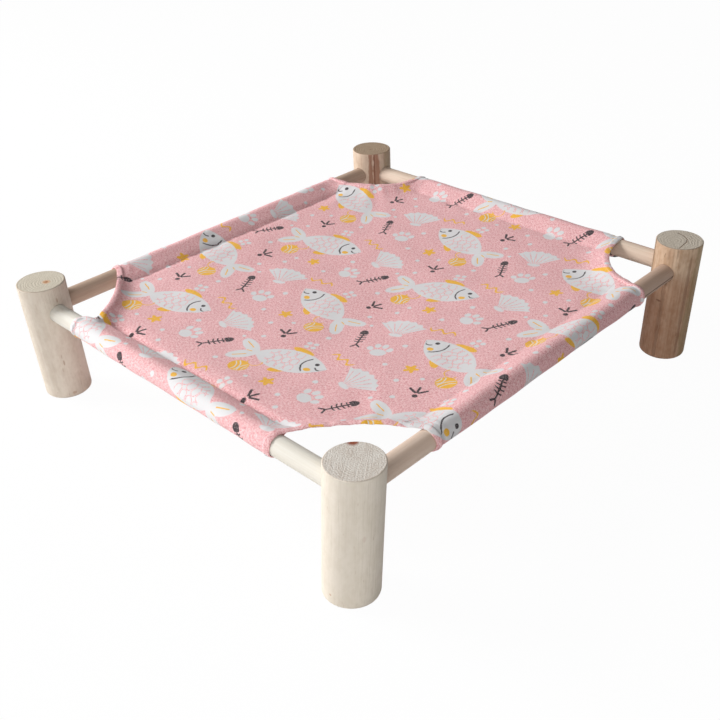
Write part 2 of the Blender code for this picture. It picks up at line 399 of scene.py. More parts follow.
@dataclass(frozen=True)
class LogWood:
    """The finish of one peeled log: its fibres, its sawn top and what stands out on both."""

    node: str
    corner: tuple[int, int]
    radius: float
    lean: Pair
    pale: Colour
    deep: Colour
    fleck: Colour
    sawn: Colour
    ring: Colour
    pith: Pair
    ring_gap: float
    ring_strength: float
    marks: tuple[Mark, ...] = ()
    spots: tuple[Spot, ...] = ()
    shaded_crack: tuple[Pair, ...] = ()
    streaks: float = 0.3
    seed: float = 0.0

    # Noise on the side
    FIBRE = Grain((0.0011, 0.0011, 0.035), 3.0, 3.0)
    STRAND = Grain((0.004, 0.004, 0.09), 2.0, 7.0)
    CLOUD = Grain((0.012, 0.012, 0.022), 3.0, 11.0)
    BLOTCH = Grain((0.0035, 0.0035, 0.006), 2.0, 13.0)
    FLECKS = Grain((0.0022, 0.0022, 0.011), 1.0, 17.0)
    RAGGED = Grain((0.006, 0.006, 0.012), 3.0, 23.0)
    # Noise on the sawn top, and the way that the saw went
    WANDER = Grain((0.009, 0.009), 2.0, 31.0)
    PORES = Grain((0.0013, 0.0013), 3.0, 37.0)
    PATCH = Grain((0.012, 0.012), 2.0, 41.0)
    SAW_MARKS = Grain((0.0012, 0.03), 2.0, 5.0)
    SAW_WAY = (0.8, 0.6)
    # Where each layer starts to show and where it shows in full
    SIDE_SHADE = (-0.75, 0.85)
    TOP_SHADE = (-0.9, 1.0)
    FLECK_EDGE = (0.42, 0.6)
    MARK_EDGE = (1.15, 0.75)
    SPOT_EDGE = (1.25, 0.55)
    CRACK_EDGE = (0.0007, 0.0002)
    # How far in from the rim, and from the ends, its darker edge and the sawn face start and are full
    RIM_INSET = (0.0016, 0.0005)
    END_INSET = (0.0006, 0.0002)
    # How deep the grain and the sawn face are
    GRAIN_DEPTH = 0.00022
    SAWN_DEPTH = 0.00035

    def local(self, graph: Graph, bed: "BedFrame") -> tuple[Field, Field, Field]:
        """Where a point lies from the log's own leaning axis.

        Args:
            graph: The finish's node tree.
            bed: The bed's main places.

        Returns:
            The way across X and along Y from the axis, and the height.
        """
        x, y, height = graph.object_place()
        plumb = 1.0 - height / bed.rail_height
        across = x - (bed.middle.x + self.corner[0] * bed.half_x) - plumb * self.lean[0]
        along = y - (bed.middle.y + self.corner[1] * bed.half_y) - plumb * self.lean[1]
        return across, along, height

    def side(self, graph: Graph, place: tuple[Field, Field, Field]) -> tuple[bpy.types.NodeSocket, Field]:
        """The log's side: long fibres, cloudy shade, small flecks and its marks.

        Args:
            graph: The finish's node tree.
            place: The point from the log's axis.

        Returns:
            The colour, and the height of its grain.
        """
        fibre, strand, cloud, blotch, flecks, ragged = (
            graph.noise(place, grain, self.seed)
            for grain in (self.FIBRE, self.STRAND, self.CLOUD, self.BLOTCH, self.FLECKS, self.RAGGED)
        )
        shade = cloud * 0.8 + strand * self.streaks + blotch * 0.55 + fibre * 0.28
        colour = graph.blend(graph.step(shade, *self.SIDE_SHADE), self.pale, self.deep)
        colour = graph.blend(graph.step(flecks + cloud * 0.25, *self.FLECK_EDGE) * 0.55, colour, self.fleck)
        across, along, height = place
        grainy = graph.math("MULTIPLY_ADD", fibre, 0.25, 0.85)
        for mark in self.marks:
            ahead, aside = turned(across, along, mark.turn)
            round_log = graph.math("ARCTAN2", aside, ahead) * (self.radius / mark.half_width)
            up = (height - mark.height) / mark.half_height
            reach = graph.length(round_log, up) + ragged * mark.ragged
            cover = graph.step(reach, *self.MARK_EDGE) * grainy * mark.strength
            colour = graph.blend(cover, colour, mark.colour)
        return colour, fibre * 0.6 + strand * 0.4

    def top(self, graph: Graph, place: tuple[Field, Field, Field]) -> tuple[bpy.types.NodeSocket, Field]:
        """The sawn end: uneven rings about the pith, saw marks, a darker edge, spots, and a crack darkened with
        painted shade.

        Args:
            graph: The finish's node tree.
            place: The point from the log's axis.

        Returns:
            The colour, and the height of the sawn surface.
        """
        across, along, _ = place
        wander, pores, patch = (
            graph.noise((across, along), grain, self.seed) for grain in (self.WANDER, self.PORES, self.PATCH)
        )
        from_pith = graph.length(across - self.pith[0], along - self.pith[1]) + wander * (self.ring_gap * 0.9)
        rings = graph.math("SINE", from_pith * (math.tau / self.ring_gap)) * self.ring_strength
        first, second = self.SAW_WAY
        saw_place = (across * first + along * second, along * first - across * second)
        saw = graph.noise(saw_place, self.SAW_MARKS)
        shade = rings + pores * 1.3 + patch * 0.45 + saw * 0.45
        colour = graph.blend(graph.step(shade, *self.TOP_SHADE), self.sawn, self.ring)
        from_axis = graph.length(across, along) + wander * 0.0004
        rim = graph.step(from_axis, *(self.radius - inset for inset in self.RIM_INSET))
        colour = graph.blend(rim * 0.6, colour, self.fleck)
        for spot in self.spots:
            reach = graph.length(across - spot.across, along - spot.along) / spot.radius + wander * 0.3
            colour = graph.blend(graph.step(reach, *self.SPOT_EDGE) * spot.strength, colour, spot.colour)
        height = rings + pores * 0.7 + saw * 0.5
        wandering = (across + wander * 0.0006, along + wander * 0.0006)
        # Along the crack the colour goes to the dark fleck colour: painted shade inside the crack, beside a dip
        # in the bump
        for start, end in zip(self.shaded_crack, self.shaded_crack[1:]):
            split = graph.step(line_distance(graph, wandering, start, end), *self.CRACK_EDGE)
            colour = graph.blend(split * 0.8, colour, self.fleck)
            height = height - split * 2.5
        return colour, height

    def dress(self, leg: bpy.types.Object, bed: "BedFrame") -> None:
        """Give a leg this finish.

        Args:
            leg: The leg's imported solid.
            bed: The bed's main places.
        """
        finish, graph, shader = new_finish(self.node + "_peeled_log")
        place = self.local(graph, bed)
        side, grain = self.side(graph, place)
        top, sawn = self.top(graph, place)
        half = bed.leg_height / 2
        on_end = graph.step(abs(place[2] - half), *(half - inset for inset in self.END_INSET))
        grainy = graph.bump((1.0 - on_end) * grain, self.GRAIN_DEPTH)
        graph.fill(shader, {
            "Base Color": graph.blend(on_end, side, top),
            "Normal": graph.bump(on_end * sawn, self.SAWN_DEPTH, grainy),
            "Roughness": graph.math("MULTIPLY_ADD", grain, 0.08, 0.7) + on_end * 0.15,
            "Specular IOR Level": WOOD_SHINE,
        })
        put_on(leg, finish)
        LOG.info("%s: peeled log with %d marks", self.node, len(self.marks))


@dataclass(frozen=True)
class RailWood:
    """The finish of one turned rail: straight fibres along it, with a few coloured streaks.

    A groove is its turn round the rail in degrees, where it starts and where it ends. A stain is
    where it starts, where it is full, and how much of it shows.
    """

    node: str
    run: Run
    pale: Colour
    deep: Colour
    streak: Colour
    streak_share: float
    groove: tuple[float, float, float] | None = None
    stain: tuple[float, float, float] | None = None
    shaded_crack: Colour = paint(92, 62, 46)
    seed: float = 0.0

    FIBRE = Grain((0.06, 0.0009, 0.0009), 3.0, 2.0)
    BAND = Grain((0.22, 0.005, 0.005), 2.0, 5.0)
    CLOUD = Grain((0.03, 0.012, 0.012), 2.0, 9.0)
    STREAKS = Grain((0.16, 0.0028, 0.0028), 2.0, 13.0)
    # Where the shade, the streaks and the groove start to show and where they show in full
    SHADE = (-0.7, 0.8)
    STREAK_EDGE = (0.34, 0.5)
    GROOVE_EDGE = (0.0011, 0.0003)
    GROOVE_TAPER = 0.012
    GRAIN_DEPTH = 0.00012

    def dress(self, rail: bpy.types.Object, bed: "BedFrame") -> None:
        """Give a rail this finish.

        Args:
            rail: The rail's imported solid.
            bed: The bed's main places.
        """
        finish, graph, shader = new_finish(self.node + "_turned_dowel")
        x, y, height = graph.object_place()
        centre = sum(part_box(self.node), Vector()) / 2
        along, across = (x, y - centre.y) if self.run is Run.ALONG_X else (y, x - centre.x)
        up = height - bed.rail_height
        fibre, band, cloud, streak = (
            graph.noise((along, across, up), grain, self.seed)
            for grain in (self.FIBRE, self.BAND, self.CLOUD, self.STREAKS)
        )
        shade = graph.step(fibre * 0.5 + band * 0.6 + cloud * 0.35, *self.SHADE)
        colour = graph.blend(shade, self.pale, self.deep)
        colour = graph.blend(graph.step(streak, *self.STREAK_EDGE) * self.streak_share, colour, self.streak)
        if self.stain:
            start, full, share = self.stain
            colour = graph.blend(graph.step(along + band * 0.02, start, full) * share, colour, self.streak)
        relief = fibre
        if self.groove:
            degrees, start, end = self.groove
            ahead, aside = turned(across, up, degrees)
            line = abs(graph.math("ARCTAN2", aside, ahead)) * bed.rail_radius + band * 0.0003
            near_start = graph.step(along, start, start + self.GROOVE_TAPER)
            near_end = graph.step(along, end, end - self.GROOVE_TAPER)
            cut = graph.step(line, *self.GROOVE_EDGE) * (near_start * near_end)
            # The groove is painted dark: painted shade inside the crack, beside its shallow bump
            colour = graph.blend(cut * 0.85, colour, self.shaded_crack)
            relief = relief - cut * 4.0
        graph.fill(shader, {
            "Base Color": colour,
            "Normal": graph.bump(relief, self.GRAIN_DEPTH),
            "Roughness": graph.math("MULTIPLY_ADD", band, 0.07, 0.62),
            "Specular IOR Level": WOOD_SHINE,
        })
        put_on(rail, finish)
        LOG.info("%s: turned dowel", self.node)


@dataclass(frozen=True)
class BedFrame:
    """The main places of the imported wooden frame, which the cloth and the finishes follow."""

    middle: Vector
    half_x: float
    half_y: float
    rail_height: float
    rail_radius: float
    leg_height: float

    @classmethod
    def from_model(cls) -> "BedFrame":
        """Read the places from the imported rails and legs.

        Returns:
            The places.
        """
        front, back, left, right = (
            sum(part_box(name), Vector()) / 2 for name in ("rail_front", "rail_back", "rail_left", "rail_right")
        )
        low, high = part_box("rail_front")
        return cls(
            middle=Vector(((left.x + right.x) / 2, (front.y + back.y) / 2, 0.0)),
            half_x=(right.x - left.x) / 2,
            half_y=(back.y - front.y) / 2,
            rail_height=front.z,
            rail_radius=(high.z - low.z) / 2,
            leg_height=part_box("leg_front_right")[1].z,
        )


class Woodwork:
    """The four legs and the four rails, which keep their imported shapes."""

    legs: tuple[LogWood, ...] = (
        LogWood(
            "leg_front_right", (1, -1), 0.0253, (-0.006, -0.003),
            pale=paint(233, 223, 209), deep=paint(220, 209, 192), fleck=paint(202, 185, 166),
            sawn=paint(236, 232, 224), ring=paint(194, 178, 164),
            pith=(0.004, 0.003), ring_gap=0.0021, ring_strength=0.09,
            marks=(
                Mark(-91, 0.011, 0.0012, 0.0012, paint(194, 153, 122), 0.8),
                Mark(-26, 0.078, 0.0016, 0.0035, paint(213, 192, 177), 0.5),
            ),
            spots=(Spot(-0.0180, 0.0162, 0.0052, paint(147, 81, 58)),),
            seed=1.0,
        ),
        LogWood(
            "leg_front_left", (-1, -1), 0.02495, (-0.003, 0.004),
            pale=paint(226, 215, 200), deep=paint(207, 192, 175), fleck=paint(179, 153, 130),
            sawn=paint(211, 203, 187), ring=paint(192, 181, 162),
            pith=(0.0063, 0.0031), ring_gap=0.0029, ring_strength=0.24,
            marks=(
                Mark(-14, 0.006, 0.0025, 0.002, paint(185, 151, 124), 0.7),
                Mark(-21, 0.047, 0.0009, 0.0035, paint(175, 143, 119), 0.75),
                Mark(3, 0.123, 0.0010, 0.0030, paint(175, 143, 119), 0.75),
                Mark(-20, 0.105, 0.0009, 0.0030, paint(179, 147, 122), 0.7),
            ),
            spots=(
                Spot(0.0063, 0.0031, 0.0045, paint(202, 156, 115), 0.8),
                Spot(0.0063, 0.0031, 0.0019, paint(160, 102, 66)),
            ),
            seed=20.0,
        ),
        LogWood(
            "leg_back_right", (1, 1), 0.0252, (-0.001, -0.001),
            pale=paint(222, 194, 166), deep=paint(183, 147, 117), fleck=paint(124, 90, 66),
            sawn=paint(213, 203, 188), ring=paint(188, 175, 158),
            pith=(-0.004, -0.006), ring_gap=0.0034, ring_strength=0.28,
            marks=(
                # Painted shade: a broad dark patch over the log's lower part, strongest at -45 degrees, for the
                # bed's shadow there
                Mark(-45, 0.038, 0.085, 0.071, paint(132, 68, 26), 0.5, 0.2),
                Mark(4, 0.050, 0.012, 0.110, paint(132, 122, 72), 0.4, 0.5),
                Mark(-30, 0.070, 0.0022, 0.075, paint(98, 62, 38), 0.4, 0.7),
                Mark(-84, 0.060, 0.0026, 0.070, paint(98, 60, 36), 0.45, 0.7),
                Mark(-64, 0.133, 0.0009, 0.006, paint(109, 73, 51), 0.3, 0.4),
                Mark(-146, 0.118, 0.0040, 0.055, paint(115, 87, 62), 0.75, 0.6),
                Mark(-92, 0.073, 0.0034, 0.0012, paint(106, 66, 43), 0.8, 0.9),
            ),
            shaded_crack=(
                (-0.0098, 0.0138), (-0.002, 0.0115), (0.0055, 0.006), (0.0085, -0.0008), (0.0100, -0.0205),
            ),
            streaks=0.75, seed=41.0,
        ),
        LogWood(
            "leg_back_left", (-1, 1), 0.02545, (0.0025, -0.0025),
            pale=paint(222, 202, 181), deep=paint(198, 171, 147), fleck=paint(149, 115, 90),
            sawn=paint(180, 158, 134), ring=paint(152, 128, 105),
            pith=(0.002, -0.004), ring_gap=0.0029, ring_strength=0.45,
            marks=(
                Mark(-51, 0.106, 0.0031, 0.060, paint(151, 100, 75), 0.9, 0.9),
                Mark(-32, 0.106, 0.0045, 0.060, paint(164, 113, 89), 0.9, 0.9),
                Mark(-38.5, 0.110, 0.0009, 0.040, paint(119, 77, 57), 0.75, 0.9),
                Mark(9, 0.110, 0.0072, 0.060, paint(166, 141, 111), 0.7, 0.4),
            ),
            spots=(Spot(0.002, -0.004, 0.002, paint(132, 98, 73), 0.7),),
            seed=63.0,
        ),
    )
    rails: tuple[RailWood, ...] = (
        RailWood(
            "rail_front", Run.ALONG_X,
            paint(229, 225, 216), paint(219, 212, 198), paint(211, 192, 170), 0.3, seed=2.0,
        ),
        RailWood(
            "rail_back", Run.ALONG_X,
            paint(224, 206, 188), paint(202, 175, 154), paint(179, 121, 106), 0.9, seed=14.0,
        ),
        RailWood(
            "rail_left", Run.ALONG_Y,
            paint(198, 173, 153), paint(177, 149, 130), paint(158, 126, 104), 0.4, seed=27.0,
        ),
        RailWood(
            "rail_right", Run.ALONG_Y,
            paint(232, 211, 194), paint(215, 188, 168), paint(141, 102, 77), 0.4,
            groove=(-6.0, 0.15, 0.30), stain=(0.06, 0.17, 0.5), seed=39.0,
        ),
    )

    def dress(self, nodes: dict[str, bpy.types.Object], bed: BedFrame) -> None:
        """Give every leg and rail its finish.

        Args:
            nodes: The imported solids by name.
            bed: The bed's main places.
        """
        for wood in (*self.legs, *self.rails):
            wood.dress(nodes[wood.node], bed)
            nodes[wood.node].data.shade_smooth()


# Print and cloth


@dataclass(frozen=True)
class PetPrint:
    """The print: fish, shells, paw marks, wool, fish bones and dots on rows that are shifted by half.

    Lengths are in millimetres, measured on the flat cloth. Each shape is given by how far a
    point lies outside it, so the lowest value of a few shapes is their union.
    """

    row_length: float = 176.0
    row_height: float = 104.0
    row_drift: float = 21.0
    edge: float = 0.4
    thread_wander: float = 0.35
    coverage: float = 0.97
    white: Colour = paint(230, 231, 232)
    mustard: Colour = paint(250, 190, 54)
    charcoal: Colour = paint(44, 44, 48)

    # Where each motif stands in its cell of a row, and how far it is turned, in degrees
    AT = {
        "fish": ((-23.0, 4.0), 17.0), "shell": ((53.0, 20.0), -18.0), "paw": ((38.0, -30.0), -24.0),
        "wool": ((-52.0, -36.5), 30.0), "star": ((-10.0, -37.0), 12.0), "bone": ((71.0, -22.0), 64.0),
        "splash": ((-66.0, 37.0), 20.0), "wave": ((14.0, 39.0), -10.0), "clover": ((-30.0, 39.0), 20.0),
    }
    # Loose dots: their middles and radii
    DOTS = (
        (80.0, 43.0, 2.7), (24.0, -7.0, 2.9), (-79.0, 19.0, 2.6), (15.0, -46.0, 2.6), (-31.0, -45.0, 2.3),
        (-80.0, -42.0, 2.8), (82.0, 6.0, 2.2),
    )
    # How fast a shell's ribs follow one another round its fan, in radians of their wave
    SHELL_RIBS = 22.4

    def motif(self, place: Point, name: str) -> Point:
        """A point of a cell as a motif sees it, from the motif's own middle and turned with it."""
        return self.seen_from(place, *self.AT[name])

    def seen_from(self, place: Point, centre: Pair, degrees: float) -> Point:
        """A point from some middle, along axes that are turned."""
        across, along = place[0] - centre[0], place[1] - centre[1]
        return turned(across, along, degrees) if degrees else (across, along)

    def oval(self, graph: Graph, place: Point, centre: Pair, radii: Pair, degrees: float = 0.0) -> Field:
        """How far a point lies outside an oval."""
        across, along = self.seen_from(place, centre, degrees)
        return (graph.length(across / radii[0], along / radii[1]) - 1.0) * min(radii)

    def stroke(self, graph: Graph, place: Point, start: Pair, end: Pair, width: float) -> Field:
        """How far a point lies outside a straight stroke with round ends."""
        return line_distance(graph, place, start, end) - width / 2

    def bow(self, graph: Graph, place: Point, centre: Pair, radius: float, width: float) -> Field:
        """How far a point lies outside a ring's line."""
        return abs(graph.length(place[0] - centre[0], place[1] - centre[1]) - radius) - width / 2

    def fish(self, graph: Graph, place: Point) -> dict[str, list[Field]]:
        """A plump fish with a gill, scales, fins and a tail, about 104 mm long.

        Args:
            graph: The finish's node tree.
            place: The point in its cell, in millimetres.

        Returns:
            What each ink lays on it, by the ink's name.
        """
        spot = self.motif(place, "fish")
        body = graph.most(
            graph.length(spot[0], spot[1] - 31.0) - 51.0,
            graph.length(spot[0], spot[1] + 31.0) - 51.0,
        )
        tail = graph.least(
            self.oval(graph, spot, (-50.0, 9.0), (16.0, 7.4), -38.0),
            self.oval(graph, spot, (-50.0, -9.0), (16.0, 7.4), 38.0),
        )
        fins = graph.least(
            self.oval(graph, spot, (3.0, 21.5), (13.0, 4.6), -14.0),
            self.oval(graph, spot, (-4.0, -20.5), (8.5, 4.2), 24.0),
        )
        rays = graph.least(
            self.stroke(graph, spot, (-46.0, 7.0), (-57.0, 14.5), 1.3),
            self.stroke(graph, spot, (-46.0, -7.0), (-57.0, -14.5), 1.3),
            self.stroke(graph, spot, (-44.0, 0.0), (-49.0, 0.0), 1.3),
        )
        cheek = self.oval(graph, spot, (22.5, -7.5), (3.7, 3.0))
        gill = graph.most(self.bow(graph, spot, (29.5, 0.0), 16.0, 1.6), spot[0] - 19.0)
        column = graph.math("FLOORED_MODULO", spot[0], 9.4) - 4.7
        arc = abs(graph.length(column, graph.math("PINGPONG", spot[1] + 60.0, 6.0) - 1.5) - 4.0) - 0.45
        scales = graph.most(arc, body + 3.4, spot[0] - 9.0, -26.0 - spot[0])
        eye = graph.length(spot[0] - 27.5, spot[1] - 4.6) - 2.4
        smile = graph.most(self.bow(graph, spot, (33.5, 0.0), 5.0, 1.5), spot[1] + 1.0)
        return {
            "white": [body, tail],
            "ground": [scales],
            "mustard": [graph.most(fins, 0.0 - body - 0.3), rays, cheek],
            "charcoal": [graph.most(gill, body + 1.5), eye, graph.most(smile, body + 1.0)],
        }

    def shell(self, graph: Graph, place: Point) -> tuple[Field, Field]:
        """A fan shell about 46 mm wide: its outline, and the ribs on it.

        Args:
            graph: The finish's node tree.
            place: The point in its cell, in millimetres.

        Returns:
            Its outline, and its ribs.
        """
        spot = self.motif(place, "shell")
        across, along = spot[0], spot[1] + 17.0
        turn = graph.math("ARCTAN2", across, along)
        reach = graph.length(across, along)
        waves = graph.math("COSINE", turn * self.SHELL_RIBS) * 1.1
        fan = graph.most(reach - 33.0 - waves, (abs(turn) - 0.84) * 26.0)
        gap = math.pi / self.SHELL_RIBS
        ribs = graph.most(
            graph.math("PINGPONG", turn + 9.0 * math.pi / self.SHELL_RIBS, gap) * reach - 0.5,
            5.0 - reach, reach - 28.0, abs(turn) - 0.75,
        )
        return graph.least(fan, self.oval(graph, spot, (0.0, -15.0), (7.5, 3.8))), ribs

    def paw(self, graph: Graph, place: Point) -> list[Field]:
        """A paw mark of one pad and four toes.

        Args:
            graph: The finish's node tree.
            place: The point in its cell, in millimetres.

        Returns:
            Its pad and its toes.
        """
        spot = self.motif(place, "paw")
        places = (((-10.0, 3.4), 26.0), ((-3.8, 9.6), 8.0), ((4.0, 9.6), -8.0), ((10.2, 3.2), -26.0))
        toes = [self.oval(graph, spot, centre, (3.2, 4.2), degrees) for centre, degrees in places]
        return [self.oval(graph, spot, (0.0, -3.6), (8.2, 6.6)), *toes]

    def wool(self, graph: Graph, place: Point) -> tuple[Field, Field, Field]:
        """A ball of wool: the ball, the lines of its yarn, and its loose end.

        Args:
            graph: The finish's node tree.
            place: The point in its cell, in millimetres.

        Returns:
            The ball, the lines of its yarn, and its loose end.
        """
        spot = self.motif(place, "wool")
        ball = graph.length(*spot) - 10.4
        turns = (((-15.0, 0.0), 16.4), ((-15.0, 0.0), 12.4), ((14.0, -8.0), 12.6), ((14.0, -8.0), 8.8))
        yarn = graph.least(*(self.bow(graph, spot, centre, radius, 1.0) for centre, radius in turns))
        loose = graph.most(self.bow(graph, spot, (13.0, 11.0), 7.4, 1.2), 4.2 - spot[0], spot[1] - 12.0)
        return ball, yarn, loose

    def star(self, graph: Graph, place: Point) -> Field:
        """A rounded star with five arms.

        Args:
            graph: The finish's node tree.
            place: The point in its cell, in millimetres.

        Returns:
            How far the point lies outside it.
        """
        spot = self.motif(place, "star")
        arms = graph.math("COSINE", graph.math("ARCTAN2", spot[1], spot[0]) * 5.0)
        return graph.length(*spot) - arms * 1.9 - 6.0

    def bone(self, graph: Graph, place: Point) -> list[Field]:
        """A small fish bone: a spine with ribs, a head and a tail.

        Args:
            graph: The finish's node tree.
            place: The point in its cell, in millimetres.

        Returns:
            Its spine, ribs, head and tail.
        """
        spot = self.motif(place, "bone")
        rib = abs(graph.math("FLOORED_MODULO", spot[0] - spot[1] * spot[1] * 0.05, 4.8) - 2.4) - 0.8
        ribs = graph.most(rib, abs(spot[1]) - 5.6 + abs(spot[0]) * 0.18, abs(spot[0]) - 9.0)
        head = graph.most(self.oval(graph, spot, (13.0, 0.0), (5.8, 4.4)), 9.8 - spot[0])
        return [
            self.stroke(graph, spot, (-13.5, 0.0), (11.0, 0.0), 2.0),
            ribs,
            head,
            self.stroke(graph, spot, (-13.5, 0.0), (-18.0, 4.2), 2.1),
            self.stroke(graph, spot, (-13.5, 0.0), (-18.0, -4.2), 2.1),
        ]

    def splash(self, graph: Graph, place: Point) -> list[Field]:
        """Three short strokes that spread like a splash.

        Args:
            graph: The finish's node tree.
            place: The point in its cell, in millimetres.

        Returns:
            Its strokes and the dot below them.
        """
        spot = self.motif(place, "splash")
        ends = (((-1.8, 1.0), (-8.5, 6.5)), ((0.0, 2.0), (0.0, 10.0)), ((1.8, 1.0), (8.5, 6.5)))
        strokes = [self.stroke(graph, spot, start, end, 2.6) for start, end in ends]
        return [*strokes, graph.length(spot[0], spot[1] + 4.8) - 2.7]

    def wave(self, graph: Graph, place: Point) -> Field:
        """A wavy line about 32 mm long.

        Args:
            graph: The finish's node tree.
            place: The point in its cell, in millimetres.

        Returns:
            How far the point lies outside it.
        """
        spot = self.motif(place, "wave")
        curve = graph.math("SINE", spot[0] * 0.45) * 3.1
        return graph.most((abs(spot[1] - curve) - 1.5) * 0.62, abs(spot[0]) - 15.5)

    def dots(self, graph: Graph, place: Point) -> list[Field]:
        """Loose dots, and a small clover of four.

        Args:
            graph: The finish's node tree.
            place: The point in its cell, in millimetres.

        Returns:
            The dots and the clover.
        """
        loose = [graph.length(place[0] - x, place[1] - y) - radius for x, y, radius in self.DOTS]
        clover = self.motif(place, "clover")
        leaves = graph.length(abs(clover[0]) - 3.7, abs(clover[1]) - 3.7) - 2.8
        return [*loose, leaves]

    def colour(self, graph: Graph, place: Point, ground: object, thread: Field) -> bpy.types.NodeSocket:
        """Lay the print over the cloth's ground.

        Args:
            graph: The finish's node tree.
            place: The point on the flat cloth, in millimetres.
            ground: The colour of the unprinted cloth.
            thread: The cloth's uneven threads, which the print covers a little less.

        Returns:
            The printed colour.
        """
        row = graph.math("FLOOR", place[1] / self.row_height)
        odd = graph.math("FLOORED_MODULO", row, 2.0)
        facing = 1.0 - odd * 2.0
        drift = graph.math("FLOORED_MODULO", row, 3.0) * self.row_drift
        across = place[0] + odd * (self.row_length / 2) + drift
        spot = (
            (graph.math("FLOORED_MODULO", across, self.row_length) - self.row_length / 2) * facing,
            graph.math("FLOORED_MODULO", place[1], self.row_height) - self.row_height / 2,
        )
        fish = self.fish(graph, spot)
        shell, ribs = self.shell(graph, spot)
        ball, yarn, loose = self.wool(graph, spot)
        inks = (
            (self.white, [*fish["white"], shell, *self.paw(graph, spot), *self.dots(graph, spot)]),
            (ground, [*fish["ground"], ribs]),
            (self.mustard, [*fish["mustard"], ball, loose, self.star(graph, spot), self.wave(graph, spot)]),
            (self.white, [graph.most(ball + 0.9, yarn)]),
            (self.charcoal, [*fish["charcoal"], *self.bone(graph, spot), *self.splash(graph, spot)]),
        )
        colour = ground
        for ink, shapes in inks:
            cover = graph.step(graph.least(*shapes) + thread * self.thread_wander, self.edge, -self.edge)
            colour = graph.blend(cover * self.coverage, colour, ink)
        return colour


@dataclass(frozen=True)
class Canvas:
    """The sling's cloth: plain-weave cotton with uneven threads, dyed pink and printed on one side."""

    ground: Colour = paint(250, 193, 195)
    ground_deep: Colour = paint(226, 158, 161)
    ground_pale: Colour = paint(255, 215, 215)
    bare: Colour = paint(248, 218, 218)
    worn: Colour = paint(240, 210, 210)
    thread_mm: float = 0.62
    depth: float = 0.00014

    # Noise on the flat cloth, in millimetres
    WARP = Grain((0.8, 3.0), 2.0, 3.0)
    WEFT = Grain((3.0, 0.8), 2.0, 8.0)
    FLECK = Grain((1.0, 1.0), 2.0, 15.0)
    WOBBLE = Grain((5.0, 5.0), 1.0, 33.0)
    WEAR = Grain((0.9, 0.9), 2.0, 51.0)
    # Where the deep, the pale and the worn threads start to show and where they show in full
    DEEP_EDGE = (0.03, -0.2)
    PALE_EDGE = (-0.03, 0.2)
    WORN_EDGE = (0.02, 0.4)
    BACK_SHADE = (-0.9, 0.9)

    def weave(self, graph: Graph, place: Point) -> tuple[Field, Field]:
        """The threads: how light each is, and how high it stands.

        Args:
            graph: The finish's node tree.
            place: The point on the flat cloth, in millimetres.

        Returns:
            The light and dark of the threads, and their height.
        """
        warp, weft, fleck = (graph.noise(place, grain) for grain in (self.WARP, self.WEFT, self.FLECK))
        thread = warp * 0.6 + weft * 0.6 + fleck * 0.5
        turns = math.pi / self.thread_mm
        check = graph.math("SINE", place[0] * turns) * graph.math("SINE", place[1] * turns)
        return thread, check * 0.5 + thread * 0.7

    def make(self, name: str, printed: bool) -> bpy.types.Material:
        """Make the cloth's finish.

        Args:
            name: The material's name.
            printed: Whether it is the printed face or the bare back.

        Returns:
            The material.
        """
        finish, graph, shader = new_finish(name)
        u, v, _ = graph.split(graph.add("ShaderNodeUVMap", uv_map=Sling.FLAT_MAP).outputs[0])
        place = (u * (1 / MM), v * (1 / MM))
        thread, height = self.weave(graph, place)
        if printed:
            ground = graph.blend(graph.step(thread, *self.DEEP_EDGE), self.ground, self.ground_deep)
            ground = graph.blend(graph.step(thread, *self.PALE_EDGE), ground, self.ground_pale)
            wobble = graph.noise(place, self.WOBBLE) * 0.5
            colour = PetPrint().colour(graph, (place[0] + wobble, place[1] + wobble), ground, thread)
            wear = graph.noise(place, self.WEAR) + thread * 0.7
            colour = graph.blend(graph.step(wear, *self.WORN_EDGE) * 0.3, colour, self.worn)
        else:
            colour = graph.blend(graph.step(thread, *self.BACK_SHADE), self.ground, self.bare)
        graph.fill(shader, {
            "Base Color": colour,
            "Normal": graph.bump(height, self.depth),
            "Roughness": graph.math("MULTIPLY_ADD", thread, 0.05, 0.88),
            "Specular IOR Level": 0.15,
            "Sheen Weight": 0.08,
            "Sheen Roughness": 0.5,
        })
        return finish


# The cloth's shape


def smooth_step(value: np.ndarray, start: float, end: float) -> np.ndarray:
    """Rise smoothly from 0 at start to 1 at end."""
    share = np.clip((value - start) / (end - start), 0.0, 1.0)
    return share * share * (3 - 2 * share)


def bell(value: np.ndarray, width: float, middle: float = 0.0) -> np.ndarray:
    """1 at the middle, and softly down to 0 a few widths away."""
    return np.exp(-(((value - middle) / width) ** 2))


@dataclass(frozen=True)
class Swell:
    """Cloudy waves in the cloth: how high they stand, how long they are, and which noise they follow."""

    height: float
    length: float
    seed: float

    SEED_STEP = 7.3
    EVEN_OUT = 1.6

    def at(self, first: np.ndarray, second: np.ndarray) -> np.ndarray:
        """Work out the waves' height.

        Args:
            first: Places along one axis.
            second: Places along the other.

        Returns:
            The height, to about the waves' own height above and below 0.
        """
        pairs = zip(np.ravel(first) / self.length, np.ravel(second) / self.length)
        layer = self.seed * self.SEED_STEP
        values = [noise.noise(Vector((a, b, layer))) * self.EVEN_OUT for a, b in pairs]
        return self.height * np.reshape(values, np.shape(first))


class Corner(Enum):
    """The bed's corners, as the sides of X and Y that they are on."""

    FRONT_RIGHT = (1, -1)
    FRONT_LEFT = (-1, -1)
    BACK_RIGHT = (1, 1)
    BACK_LEFT = (-1, 1)

    def holds(self, x: np.ndarray, y: np.ndarray) -> np.ndarray:
        """Whether places are on this corner's sides of the bed's middle."""
        return (x * self.value[0] >= 0) & (y * self.value[1] >= 0)


